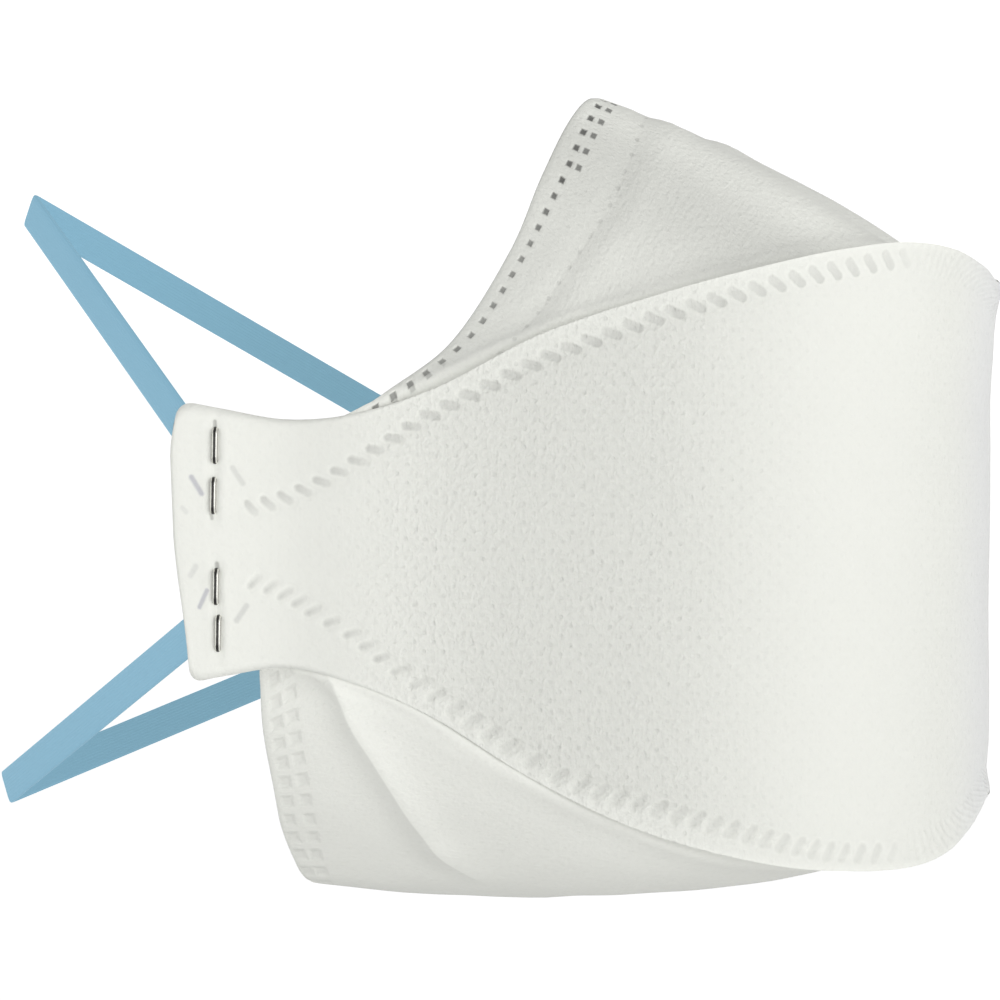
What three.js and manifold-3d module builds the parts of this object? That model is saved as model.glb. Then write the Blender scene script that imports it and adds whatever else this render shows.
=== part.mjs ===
// A disposable half-mask respirator of the flat-folding, three-panel kind, opened out as it is when worn.
// Millimetres, +Z up. The front of the mask faces -Y and the face comes in from +Y. The origin is the seat on
// the face: midway between the two side tabs, at mid-height. All but the upper strap, whose two legs are held at
// different heights, is symmetric about X = 0.
import * as THREE from 'three';
import { mergeVertices } from 'three/addons/utils/BufferGeometryUtils.js';
import Module from 'manifold-3d';

const wasm = await Module();
wasm.setup();

// ---------------------------------------------------------------------------------------------------------
// Driving sizes
// ---------------------------------------------------------------------------------------------------------
const SEAT_DEPTH = 80;        // from the front of the mask back to the seat on the face
const CLOTH = 1.0;            // wall of each panel: several layers of non-woven cloth
const GAP = 0.3;              // clearance between pieces that touch on the real thing

// The central panel seen from above: two tangent arcs from the mid-plane to the end of the tab.
const FRONT_ARC = { length: 52, turn: THREE.MathUtils.degToRad(75) };
const SIDE_ARC = { length: 58, turn: THREE.MathUtils.degToRad(5) };
const HALF_LENGTH = FRONT_ARC.length + SIDE_ARC.length;

const TAB_CORNER = 3;         // radius of the tab's corners
const TAB_SLANT = 1.0;        // how much further out the tab ends at its top than at mid-height
const TAB_FROM = 97;          // where the neck opens into the tab
const SEAM_INSET = 3.6;       // weld line to the edge of the welded flange
const SEAM_ROW = 0.84;        // where the weld line lies in the panel's rows, which run from -1 to 1
const PANEL_BULGE = 1.0;      // the central panel stands proud of its two weld lines
const NECK_DENT = 1.2;        // the panel is drawn in between the cheek and the tab
const NECK_AT = 88;
const NECK_REACH = 13;
const HOLD_MARGIN = 0.6;      // the flange holds a welded panel to this far past its edge, and then lets it out
const HOLD_FADE = 3;

// The flange edges of the central panel: heights at stations along its curve.
const FLANGE_EDGES = [
  { along: 0, top: 31.6, bottom: -28.8, flare: 1.5 },
  { along: 7, top: 33.9, bottom: -31.4, flare: 1.1 },
  { along: 14, top: 36.1, bottom: -34.5, flare: 0.6 },
  { along: 22, top: 37.0, bottom: -36.5, flare: 0.5 },
  { along: 32, top: 35.9, bottom: -37.0, flare: 0.5 },
  { along: 43, top: 33.3, bottom: -35.6, flare: 0.5 },
  { along: 56, top: 29.4, bottom: -32.0, flare: 0.5 },
  { along: 68, top: 25.0, bottom: -26.4, flare: 0.4 },
  { along: 80, top: 18.6, bottom: -19.4, flare: 0.3 },
  { along: 90, top: 15.4, bottom: -15.6, flare: 0.2 },
  { along: 97, top: 14.8, bottom: -14.2, flare: 0.0 },
  { along: 104, top: 15.9, bottom: -15.2, flare: 0.0 },
  { along: 110, top: 17.0, bottom: -16.4, flare: 0.0 },
];

// The free edge of the upper panel, for each station of the weld that it starts from, and the panel's crown.
const UPPER_EDGE = [
  { along: 0, x: 0, back: 44.2, z: 53.4, crown: 0.7 },
  { along: 12, x: 10.5, back: 44.2, z: 53.5, crown: 0.8 },
  { along: 23, x: 19.3, back: 44.8, z: 53.7, crown: 1.0 },
  { along: 32, x: 23.2, back: 46.2, z: 51.0, crown: 1.2 },
  { along: 44, x: 27.4, back: 48.4, z: 44.4, crown: 1.4 },
  { along: 58, x: 32.5, back: 50.9, z: 35.0, crown: 1.4 },
  { along: 72, x: 38.6, back: 56.4, z: 23.9, crown: 0.8 },
  { along: 85, x: 43.9, back: 63.4, z: 17.6, crown: 0.1 },
  { along: 95, x: 46.2, back: 70.5, z: 13.6, crown: 0.0 },
];
const UPPER_HEM = 7;          // folded hem along the upper panel's free edge
const HEM_VALLEY = 0.6;       // the crease at the foot of the hem

// The same for the lower panel, which goes back under the chin.
const LOWER_EDGE = [
  { along: 0, x: 0, back: 76.6, z: -40.4, crown: 4.5 },
  { along: 16, x: 12, back: 76.7, z: -40.4, crown: 4.5 },
  { along: 32, x: 22, back: 76.6, z: -40.1, crown: 4.3 },
  { along: 46, x: 28.5, back: 76.4, z: -38.4, crown: 4.2 },
  { along: 58, x: 32.8, back: 77.4, z: -34.0, crown: 3.4 },
  { along: 72, x: 37.8, back: 77.5, z: -28.0, crown: 2.4 },
  { along: 86, x: 42.6, back: 77.4, z: -20.6, crown: 1.0 },
  { along: 99, x: 46.4, back: 76.8, z: -13.6, crown: 0.0 },
];
const CHIN_SKEW = 0.85;       // draws the lower panel's crown towards the front
const CHIN_FOLD = { height: 1.5, from: 92, to: 16, fadeFront: 16, fadeBack: 5 };

// Straps: flat elastic bands, stapled behind the tabs, each drawn back to one sharp fold. The fold's edge leans
// from upright by foldLean, and holdZ is where the band crosses the line of staples on each side.
const STRAP = { foldEdge: 4.2, thickness: 0.9, end: 99.5, bendFrom: 105.6, bendTo: 109.5, tipRadius: 0.9 };
const UPPER_STRAP = { holdZ: { left: 9.6, right: 12.8 }, tipBack: 123, tipZ: 42.1, foldLean: -18 };
const LOWER_STRAP = { holdZ: { left: -9.0, right: -9.0 }, tipBack: 124.8, tipZ: -32.3, foldLean: 18 };

// Staples: round wire through the tab and the strap, clinched on the inside.
const STAPLE = { crown: 4.2, wire: 0.6, clearance: 0.36, sides: 6 };
const STAPLES = [
  { along: 105.5, z: 11.3 },
  { along: 105.6, z: 5.2 },
  { along: 105.0, z: -5.3 },
  { along: 104.7, z: -11.2 },
];

const WHITE_CLOTH = { color: 0xf0f1f2, roughness: 0.85, metalness: 0 };
const BLUE_ELASTIC = { color: 0x82b2d0, roughness: 0.8, metalness: 0 };
const STEEL_WIRE = { color: 0xb9bcc0, roughness: 0.3, metalness: 1 };

// ---------------------------------------------------------------------------------------------------------
// Curves
// ---------------------------------------------------------------------------------------------------------

// A smooth curve through one column of a table, read at a distance along the central panel.
// A column that is even about the mid-plane starts level; one that is odd changes sign across it.
function throughColumn(rows, column, odd = false) {
  const at = rows.map((row) => row.along);
  const value = rows.map((row) => row[column]);
  const last = rows.length - 1;
  const rise = (i) => (value[i + 1] - value[i]) / (at[i + 1] - at[i]);
  const slope = value.map((_, i) => {
    if (i === 0) return odd ? rise(0) : 0;
    if (i === last) return rise(last - 1);
    return (rise(i - 1) + rise(i)) / 2;
  });
  return (s) => {
    const a = Math.min(Math.abs(s), at[last]);
    let i = 0;
    while (i < last - 1 && a > at[i + 1]) i += 1;
    const span = at[i + 1] - at[i];
    const t = (a - at[i]) / span;
    const hermite = value[i] * (1 + 2 * t) * (1 - t) ** 2
      + slope[i] * span * t * (1 - t) ** 2
      + value[i + 1] * t * t * (3 - 2 * t)
      + slope[i + 1] * span * t * t * (t - 1);
    return odd ? Math.sign(s) * hermite : hermite;
  };
}

const flangeTop = throughColumn(FLANGE_EDGES, 'top');
const flangeBottom = throughColumn(FLANGE_EDGES, 'bottom');
const flangeFlare = throughColumn(FLANGE_EDGES, 'flare');

// A point of the plan curve, with the outward direction there.
function planAt(s) {
  const side = s < 0 ? -1 : 1;
  const frontPart = Math.min(Math.abs(s), FRONT_ARC.length);
  const sidePart = Math.abs(s) - frontPart;
  const frontRadius = FRONT_ARC.length / FRONT_ARC.turn;
  const sideRadius = SIDE_ARC.length / SIDE_ARC.turn;
  const frontTurn = frontPart / frontRadius;
  const turn = frontTurn + sidePart / sideRadius;
  const x = frontRadius * Math.sin(frontTurn) + sideRadius * (Math.sin(turn) - Math.sin(frontTurn));
  const back = frontRadius * (1 - Math.cos(frontTurn))
    + sideRadius * (Math.cos(frontTurn) - Math.cos(turn));
  return {
    x: side * x,
    back,
    outward: new THREE.Vector3(side * Math.sin(turn), -Math.cos(turn), 0),
  };
}

// How much the tab's rounded corners take off its height near its end.
function cornerDrop(s) {
  const past = Math.max(0, Math.abs(s) - (HALF_LENGTH - TAB_CORNER));
  return TAB_CORNER - Math.sqrt(Math.max(0, TAB_CORNER ** 2 - past ** 2));
}

// ---------------------------------------------------------------------------------------------------------
// Panels as surfaces: each takes two parameters and gives the middle of the cloth
// ---------------------------------------------------------------------------------------------------------

// The central panel: s runs along it, row from -1 at its lower flange edge to 1 at its upper one.
function centralPoint(s, row) {
  const plan = planAt(s);
  const top = flangeTop(s) - cornerDrop(s);
  const bottom = flangeBottom(s) + cornerDrop(s);
  const half = (top - bottom) / 2;
  const inner = Math.min(Math.abs(row) / SEAM_ROW, 1);
  const flange = Math.max(0, (Math.abs(row) - SEAM_ROW) / (1 - SEAM_ROW));
  const reach = inner * (half - SEAM_INSET) + flange * SEAM_INSET;
  const z = (top + bottom) / 2 + Math.sign(row) * reach;
  const opening = THREE.MathUtils.smoothstep(TAB_FROM - Math.abs(s), 0, 30);
  const neck = (Math.abs(s) - NECK_AT) / NECK_REACH;
  const outward = PANEL_BULGE * opening * (1 - inner * inner)
    + flangeFlare(s) * flange
    - NECK_DENT * Math.exp(-neck * neck);
  const tabReach = TAB_SLANT * (z / flangeTop(HALF_LENGTH)) * (Math.abs(s) / HALF_LENGTH) ** 8;
  return new THREE.Vector3(plan.x, plan.back - SEAT_DEPTH + tabReach, z)
    .addScaledVector(plan.outward, outward);
}

// The inside of the central panel's flange, where a second panel is welded on.
function insideFlange(s, row) {
  const { outward } = planAt(s);
  return centralPoint(s, row).addScaledVector(outward, -(CLOTH + GAP));
}

// The row of the central panel at a height.
function rowAtHeight(s, z) {
  const top = flangeTop(s);
  const bottom = flangeBottom(s);
  const half = (top - bottom) / 2;
  const reach = Math.abs(z - (top + bottom) / 2);
  const inner = Math.min(reach / (half - SEAM_INSET), 1) * SEAM_ROW;
  const flange = Math.max(0, (reach - (half - SEAM_INSET)) / SEAM_INSET) * (1 - SEAM_ROW);
  return Math.sign(z - (top + bottom) / 2) * (inner + flange);
}

// Keeps a point of a welded panel inside the central panel, as far as the flange covers it.
function heldInside(point, s) {
  let nearest = s;
  for (let pass = 0; pass < 6; pass += 1) {
    const plan = planAt(nearest);
    const offset = new THREE.Vector3(point.x - plan.x, point.y - (plan.back - SEAT_DEPTH), 0);
    const forward = new THREE.Vector3(-plan.outward.y, plan.outward.x, 0);
    nearest = THREE.MathUtils.clamp(nearest + offset.dot(forward), -HALF_LENGTH, HALF_LENGTH);
  }
  const row = rowAtHeight(nearest, point.z);
  const past = (Math.abs(row) - 1) / (1 - SEAM_ROW) * SEAM_INSET;
  const held = 1 - THREE.MathUtils.smoothstep(past, HOLD_MARGIN, HOLD_MARGIN + HOLD_FADE);
  const wall = insideFlange(nearest, THREE.MathUtils.clamp(row, -1, 1));
  const { outward } = planAt(nearest);
  const proud = point.clone().sub(wall).dot(outward);
  return point.addScaledVector(outward, -Math.max(0, proud) * held);
}

// A panel that is welded inside one flange and runs to its own free edge.
// Its row is -1 at the flange edge, 0 at the weld line and 1 at the free edge.
function weldedPoint(s, row, side, edge, skew) {
  const flangeRow = SEAM_ROW + (1 - SEAM_ROW) * 0.85 * Math.max(0, -row);
  const weld = insideFlange(s, side * flangeRow);
  if (row <= 0) return weld;
  const free = new THREE.Vector3(edge.x(s), edge.back(s) - SEAT_DEPTH, edge.z(s));
  const chord = free.clone().sub(weld);
  const seamStep = insideFlange(s + 1, side * SEAM_ROW).sub(insideFlange(s - 1, side * SEAM_ROW));
  const up = seamStep.cross(chord).normalize().multiplyScalar(side);
  const skewed = row ** skew;
  return weld.addScaledVector(chord, row).addScaledVector(up, edge.crown(s) * 4 * skewed * (1 - skewed));
}

function edgeCurves(rows) {
  return {
    x: throughColumn(rows, 'x', true),
    back: throughColumn(rows, 'back'),
    z: throughColumn(rows, 'z'),
    crown: throughColumn(rows, 'crown'),
  };
}

const upperEdge = edgeCurves(UPPER_EDGE);
const lowerEdge = edgeCurves(LOWER_EDGE);

// Where the hem's crease lies in the rows of the upper panel.
function hemRow(s) {
  const length = weldedPoint(s, 0, 1, upperEdge, 1).distanceTo(weldedPoint(s, 1, 1, upperEdge, 1));
  return 1 - Math.min(0.5, UPPER_HEM / length);
}

function upperPoint(s, row) {
  const point = weldedPoint(s, row, 1, upperEdge, 1);
  const fromCrease = (row - hemRow(s)) / 0.12;
  const valley = row > 0 ? HEM_VALLEY * Math.exp(-fromCrease * fromCrease) : 0;
  point.z -= valley;
  return row > 0 ? heldInside(point, s) : point;
}

// The lower panel carries a slanting fold on each side, from under the tab down to the chin.
function lowerPoint(s, row) {
  const point = weldedPoint(s, row, -1, lowerEdge, CHIN_SKEW);
  if (row <= 0) return point;
  const foldAt = THREE.MathUtils.lerp(CHIN_FOLD.from, CHIN_FOLD.to, row);
  const ahead = foldAt - Math.abs(s);
  const fade = ahead > 0 ? ahead / CHIN_FOLD.fadeFront : -ahead / CHIN_FOLD.fadeBack;
  const rise = CHIN_FOLD.height * Math.exp(-fade) * Math.sin(Math.PI * Math.min(1, row / 0.9));
  return heldInside(point.addScaledVector(planAt(s).outward, rise), s);
}

// ---------------------------------------------------------------------------------------------------------
// Solids
// ---------------------------------------------------------------------------------------------------------

// A closed wall of even thickness about a surface, sampled at the given stations and rows.
function wallOf(surface, stations, rows, thickness) {
  const positions = [];
  const index = [];
  const across = rows.length;
  const side = stations.length * across;
  const step = 0.02;
  const points = stations.map((s) => rows.map((row) => surface(s, row)));
  const normalAt = (i, j) => {
    const s = stations[i];
    const row = rows[j];
    const alongS = surface(s + step, row).sub(surface(s - step, row));
    const alongRow = surface(s, Math.min(row + step, rows[across - 1]))
      .sub(surface(s, Math.max(row - step, rows[0])));
    return alongS.cross(alongRow).normalize();
  };
  for (const direction of [0.5, -0.5]) {
    points.forEach((line, i) => line.forEach((point, j) => {
      const moved = point.clone().addScaledVector(normalAt(i, j), direction * thickness);
      positions.push(moved.x, moved.y, moved.z);
    }));
  }
  const at = (layer, i, j) => layer * side + i * across + j;
  const quad = (a, b, c, d) => index.push(a, b, c, a, c, d);
  for (let i = 0; i < stations.length - 1; i += 1) {
    for (let j = 0; j < across - 1; j += 1) {
      quad(at(0, i, j), at(0, i + 1, j), at(0, i + 1, j + 1), at(0, i, j + 1));
      quad(at(1, i, j), at(1, i, j + 1), at(1, i + 1, j + 1), at(1, i + 1, j));
    }
    quad(at(1, i, 0), at(1, i + 1, 0), at(0, i + 1, 0), at(0, i, 0));
    quad(at(0, i, across - 1), at(0, i + 1, across - 1), at(1, i + 1, across - 1), at(1, i, across - 1));
  }
  const endStation = stations.length - 1;
  for (let j = 0; j < across - 1; j += 1) {
    quad(at(0, 0, j), at(0, 0, j + 1), at(1, 0, j + 1), at(1, 0, j));
    quad(at(1, endStation, j), at(1, endStation, j + 1), at(0, endStation, j + 1), at(0, endStation, j));
  }
  const geometry = new THREE.BufferGeometry();
  geometry.setAttribute('position', new THREE.Float32BufferAttribute(positions, 3));
  geometry.setIndex(index);
  return geometry;
}

// Even steps from one number to another, both ends included.
function steps(from, to, count) {
  return Array.from({ length: count + 1 }, (_, i) => from + ((to - from) * i) / count);
}

// Rows for the central panel: its two flanges, and even rows between the weld lines.
function centralRows(count) {
  return [-1, ...steps(-SEAM_ROW, SEAM_ROW, count), 1];
}

// Stations for the central panel, with extra ones round the tab's corners.
function centralStations(count) {
  const straight = HALF_LENGTH - TAB_CORNER;
  const round = [30, 55, 75, 90].map((degrees) => (
    straight + TAB_CORNER * Math.sin(THREE.MathUtils.degToRad(degrees))));
  return [...round.map((s) => -s).reverse(), ...steps(-straight, straight, count), ...round];
}

function toManifold(geometry) {
  const bare = geometry.clone();
  bare.deleteAttribute('normal');
  bare.deleteAttribute('uv');
  const merged = mergeVertices(bare, 1e-4);
  return new wasm.Manifold(new wasm.Mesh({
    numProp: 3,
    vertProperties: new Float32Array(merged.attributes.position.array),
    triVerts: new Uint32Array(merged.index.array),
  }));
}

function toGeometry(solid) {
  const mesh = solid.getMesh();
  const geometry = new THREE.BufferGeometry();
  geometry.setAttribute('position', new THREE.BufferAttribute(mesh.vertProperties, 3));
  geometry.setIndex(new THREE.BufferAttribute(mesh.triVerts, 1));
  return geometry;
}

// Cuts the staple legs' holes in a sheet of cloth or elastic.
function pierced(geometry) {
  const holes = stapleFrames().flatMap((frame) => legAxes(frame).map((axis) => toManifold(legHole(axis))));
  return toGeometry(holes.reduce((solid, hole) => solid.subtract(hole), toManifold(geometry)));
}

// ---------------------------------------------------------------------------------------------------------
// Straps
// ---------------------------------------------------------------------------------------------------------

// One leg of a strap: held behind the tab, bent off it, and straight to the fold. It is worked out on the +X side.
function strapLeg(strap, holdZ) {
  const hold = planAt(STAPLES[0].along);
  const tip = new THREE.Vector3(0, strap.tipBack - SEAT_DEPTH, strap.tipZ);
  const pitch = (strap.tipZ - holdZ) / (strap.tipBack - hold.back);
  const behindTab = (s) => {
    const inside = centralPoint(s, 0)
      .addScaledVector(planAt(s).outward, -(CLOTH / 2 + GAP + STRAP.thickness / 2));
    inside.z = holdZ + (inside.y + SEAT_DEPTH - hold.back) * pitch;
    return inside;
  };
  const lean = THREE.MathUtils.degToRad(strap.foldLean);
  const free = new THREE.Vector3(0, Math.sin(lean), Math.cos(lean));
  const flat = free.clone().addScaledVector(hold.outward, -free.dot(hold.outward)).normalize();
  const held = steps(STRAP.end, STRAP.bendFrom, 3).map(behindTab);
  const corner = behindTab((STRAP.bendFrom + STRAP.bendTo) / 2);
  const leg = tip.clone().sub(corner).normalize();
  const bendStart = held[held.length - 1];
  const bend = new THREE.QuadraticBezierCurve3(
    bendStart, corner, corner.clone().addScaledVector(leg, corner.distanceTo(bendStart)));
  const tipStart = tip.clone().addScaledVector(leg, -STRAP.tipRadius);
  return [
    ...held.map((point) => ({ point, across: flat })),
    ...bend.getPoints(5).slice(1).map((point) => ({ point, across: flat })),
    ...steps(0, 1, 6).slice(1).map((t) => (
      { point: bend.getPoint(1).lerp(tipStart, t), across: flat.clone().lerp(free, t) })),
  ];
}

// The middle line of a strap from end to end: one leg, the fold and the other leg.
function strapLine(strap) {
  const right = strapLeg(strap, strap.holdZ.right);
  const left = strapLeg(strap, strap.holdZ.left)
    .map(({ point, across }) => ({ point: acrossMidPlane(point), across: acrossMidPlane(across) }));
  const rightEnd = right[right.length - 1];
  const leftEnd = left[left.length - 1];
  const tip = new THREE.Vector3(0, strap.tipBack - SEAT_DEPTH, strap.tipZ);
  const fold = new THREE.QuadraticBezierCurve3(rightEnd.point, tip, leftEnd.point)
    .getPoints(6).slice(1, -1)
    .map((point) => ({ point, across: rightEnd.across }));
  return [...right, ...fold, ...left.reverse()];
}

function acrossMidPlane(vector) {
  return new THREE.Vector3(-vector.x, vector.y, vector.z);
}

// A flat band along a line; each point of the line says which way the band's width lies.
function band(line) {
  const surface = (i, row) => {
    const lower = Math.max(0, Math.min(line.length - 2, Math.floor(i)));
    const part = i - lower;
    const across = line[lower].across.clone().lerp(line[lower + 1].across, part).normalize();
    return line[lower].point.clone().lerp(line[lower + 1].point, part)
      .addScaledVector(across, row * STRAP.foldEdge);
  };
  return wallOf(surface, line.map((_, i) => i), [-0.5, 0.5], STRAP.thickness);
}

// ---------------------------------------------------------------------------------------------------------
// Staples
// ---------------------------------------------------------------------------------------------------------

// Each staple's place: the middle of its crown, the way out of the tab, and its name.
function stapleFrames() {
  const sides = [{ name: 'left', sign: -1 }, { name: 'right', sign: 1 }];
  return sides.flatMap(({ name, sign }) => STAPLES.map(({ along, z }, i) => {
    const s = sign * along;
    const middle = centralPoint(s, 0);
    return {
      name: `staple_${name}_${i + 1}`,
      middle: new THREE.Vector3(middle.x, middle.y, z),
      outward: planAt(s).outward,
    };
  }));
}

const LEG_SPREAD = (STAPLE.crown - STAPLE.wire) / 2;

function legAxes(frame) {
  return [-1, 1].map((end) => ({
    point: frame.middle.clone().add(new THREE.Vector3(0, 0, end * LEG_SPREAD)),
    outward: frame.outward,
  }));
}

function wireSection(radius) {
  const section = new THREE.Shape();
  steps(0, 1, STAPLE.sides).slice(0, -1).forEach((turn, i) => {
    const angle = 2 * Math.PI * turn;
    const corner = [radius * Math.cos(angle), radius * Math.sin(angle)];
    if (i === 0) section.moveTo(...corner);
    else section.lineTo(...corner);
  });
  section.closePath();
  return section;
}

function sweep(curve, radius, count) {
  return new THREE.ExtrudeGeometry(wireSection(radius), {
    steps: count, extrudePath: curve, curveSegments: 1, bevelEnabled: false,
  });
}

// A straight hole for one leg, right through the tab and the strap behind it.
function legHole({ point, outward }) {
  const reach = CLOTH + STRAP.thickness + GAP;
  const line = new THREE.LineCurve3(
    point.clone().addScaledVector(outward, -2 * reach), point.clone().addScaledVector(outward, reach));
  return sweep(line, STAPLE.wire / 2 + STAPLE.clearance, 1);
}

// Crown outside, legs through, ends clinched towards each other inside.
function staple(frame) {
  const outer = CLOTH / 2 + GAP + STAPLE.wire / 2;
  const inner = -(CLOTH / 2 + STRAP.thickness + 2 * GAP + STAPLE.wire / 2);
  const clinch = LEG_SPREAD * 0.25;
  const place = (out, z) => frame.middle.clone()
    .addScaledVector(frame.outward, out)
    .add(new THREE.Vector3(0, 0, z));
  const bend = STAPLE.wire * 0.75;
  const corners = [
    place(inner - 0.1, -clinch), place(inner, -LEG_SPREAD), place(outer, -LEG_SPREAD),
    place(outer, LEG_SPREAD), place(inner, LEG_SPREAD), place(inner - 0.1, clinch),
  ];
  const path = new THREE.CurvePath();
  let from = corners[0];
  corners.slice(1, -1).forEach((corner, i) => {
    const before = corner.clone().add(corners[i].clone().sub(corner).setLength(bend));
    const after = corner.clone().add(corners[i + 2].clone().sub(corner).setLength(bend));
    path.add(new THREE.LineCurve3(from, before));
    path.add(new THREE.QuadraticBezierCurve3(before, corner, after));
    from = after;
  });
  path.add(new THREE.LineCurve3(from, corners[corners.length - 1]));
  return sweep(path, STAPLE.wire / 2, 20);
}

// ---------------------------------------------------------------------------------------------------------
// The assembly
// ---------------------------------------------------------------------------------------------------------
const respirator = new THREE.Group();

function addPiece(name, geometry, finish) {
  const piece = new THREE.Mesh(geometry, new THREE.MeshStandardMaterial(finish));
  piece.name = name;
  respirator.add(piece);
}

const weldedRows = (count) => [-1, ...steps(0, 1, count)];

addPiece('central_panel', pierced(wallOf(centralPoint, centralStations(66), centralRows(8), CLOTH)), WHITE_CLOTH);
addPiece('upper_panel', wallOf(upperPoint, steps(-95, 95, 56), weldedRows(8), CLOTH), WHITE_CLOTH);
addPiece('lower_panel', wallOf(lowerPoint, steps(-99, 99, 56), weldedRows(9), CLOTH), WHITE_CLOTH);
addPiece('upper_strap', pierced(band(strapLine(UPPER_STRAP))), BLUE_ELASTIC);
addPiece('lower_strap', pierced(band(strapLine(LOWER_STRAP))), BLUE_ELASTIC);
stapleFrames().forEach((frame) => addPiece(frame.name, staple(frame), STEEL_WIRE));

export default respirator;
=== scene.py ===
# %% [markdown]
# # A flat-fold respirator
# The disposable mask folds flat in a pocket and opens into three panels: one across the middle,
# one over the nose and one under the chin. Every piece is soft cloth or elastic apart from eight
# wire staples, so the lesson is about cloth: where it is welded, where it puffs, where it creases.

# %% [markdown]
# ## 1. Load the fixed frame
# The solids already say how big the mask is and where each piece sits. They stay where they are,
# and each finer piece made here stands in for one of them.

# %% Load the frame
import math

import bmesh
import bpy
import numpy as np
from mathutils import Matrix, Vector


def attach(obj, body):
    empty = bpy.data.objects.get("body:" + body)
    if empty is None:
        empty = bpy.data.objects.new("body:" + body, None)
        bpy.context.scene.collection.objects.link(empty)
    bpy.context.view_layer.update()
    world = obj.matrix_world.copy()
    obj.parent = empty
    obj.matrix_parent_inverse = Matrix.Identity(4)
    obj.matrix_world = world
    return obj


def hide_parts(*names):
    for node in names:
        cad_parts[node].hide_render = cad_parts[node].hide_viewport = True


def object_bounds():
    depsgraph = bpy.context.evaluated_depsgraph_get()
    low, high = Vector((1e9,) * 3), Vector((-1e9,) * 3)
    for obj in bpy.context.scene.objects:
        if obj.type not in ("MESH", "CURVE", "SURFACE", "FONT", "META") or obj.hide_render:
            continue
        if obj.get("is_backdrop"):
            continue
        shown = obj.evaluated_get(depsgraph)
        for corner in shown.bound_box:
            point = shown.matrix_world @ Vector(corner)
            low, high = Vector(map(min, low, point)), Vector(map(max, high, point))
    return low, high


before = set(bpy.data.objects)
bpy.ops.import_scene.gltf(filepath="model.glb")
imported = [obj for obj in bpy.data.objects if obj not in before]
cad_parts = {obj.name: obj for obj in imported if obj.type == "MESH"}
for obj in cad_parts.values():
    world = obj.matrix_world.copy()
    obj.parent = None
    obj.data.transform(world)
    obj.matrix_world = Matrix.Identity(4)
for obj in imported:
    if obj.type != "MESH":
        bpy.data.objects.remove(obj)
packed_box = [list(corner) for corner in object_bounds()]
MM = 0.001
print("solids:", sorted(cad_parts))
print("box in mm:", [[round(x / MM, 1) for x in corner] for corner in packed_box])

# %% [markdown]
# ## 2. A line through a short table
# A pattern cutter notes a height every centimetre or two and draws one smooth line through the
# notes. `line_through` does the same. It looks up the distance from the middle of the face, so
# both sides come out alike.

# %% Smooth lines and steps
def line_through(table, column, mirrored=True):
    at = np.array(table["along"], float)
    value = np.array(table[column], float)
    rise = np.diff(value) / np.diff(at)
    first = 0.0 if mirrored else rise[0]
    slope = np.concatenate([[first], (rise[:-1] + rise[1:]) / 2, [rise[-1]]])

    def line(s):
        away = np.clip(np.abs(s), at[0], at[-1])
        i = np.clip(np.searchsorted(at, away) - 1, 0, len(at) - 2)
        span = at[i + 1] - at[i]
        t = (away - at[i]) / span
        height = (value[i] * (1 + 2 * t) * (1 - t) ** 2 + slope[i] * span * t * (1 - t) ** 2
                  + value[i + 1] * t * t * (3 - 2 * t) + slope[i + 1] * span * t * t * (t - 1))
        return height if mirrored else np.sign(s) * height
    return line


def smooth_step(x, low, high):
    """0 before low and 1 past high; swap the two to turn it round."""
    t = np.clip((x - low) / (high - low), 0, 1)
    return t * t * (3 - 2 * t)


def hump(x, width):
    return np.exp(-(x / width) ** 2)


def unit(vectors):
    return vectors / np.linalg.norm(vectors, axis=-1, keepdims=True)


NOISE_CELLS, NOISE_START = 256, 300.0


def soft_noise(u, v, cell, seed):
    """Uneven swelling from -1 to 1: random heights on a square lattice, joined smoothly."""
    heights = np.random.default_rng(seed).uniform(-1, 1, (NOISE_CELLS, NOISE_CELLS))
    u, v = (u + NOISE_START) / cell, (v + NOISE_START) / cell
    column, row = np.floor(u).astype(int), np.floor(v).astype(int)
    a, b = smooth_step(u - column, 0, 1), smooth_step(v - row, 0, 1)
    corner = lambda i, j: heights[(column + i) % NOISE_CELLS, (row + j) % NOISE_CELLS]
    near = corner(0, 0) * (1 - a) + corner(1, 0) * a
    far = corner(0, 1) * (1 - a) + corner(1, 1) * a
    return near * (1 - b) + far * b


def swelling(u, v, *layers):
    """Layers of soft noise, each with its height, its cell and its seed."""
    return sum(height * soft_noise(u, v, cell, seed) for height, cell, seed in layers)


# %% [markdown]
# ## 3. The middle panel's shape
# Seen from above, the middle panel is two arcs: a tight one round the front of the face and a
# long, nearly flat one back to each strap tab. `s` is the distance along it from the middle of
# the face in millimetres, and a row from -1 to 1 goes from its bottom edge to its top edge.
# The welded flange beyond each seam is drawn separately from the bulging cloth between them.
# Round the front the flange waves a little past its pattern line, and the cloth beside it is
# fuller. At its very end, each tab is cut back a little above and below.

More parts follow.
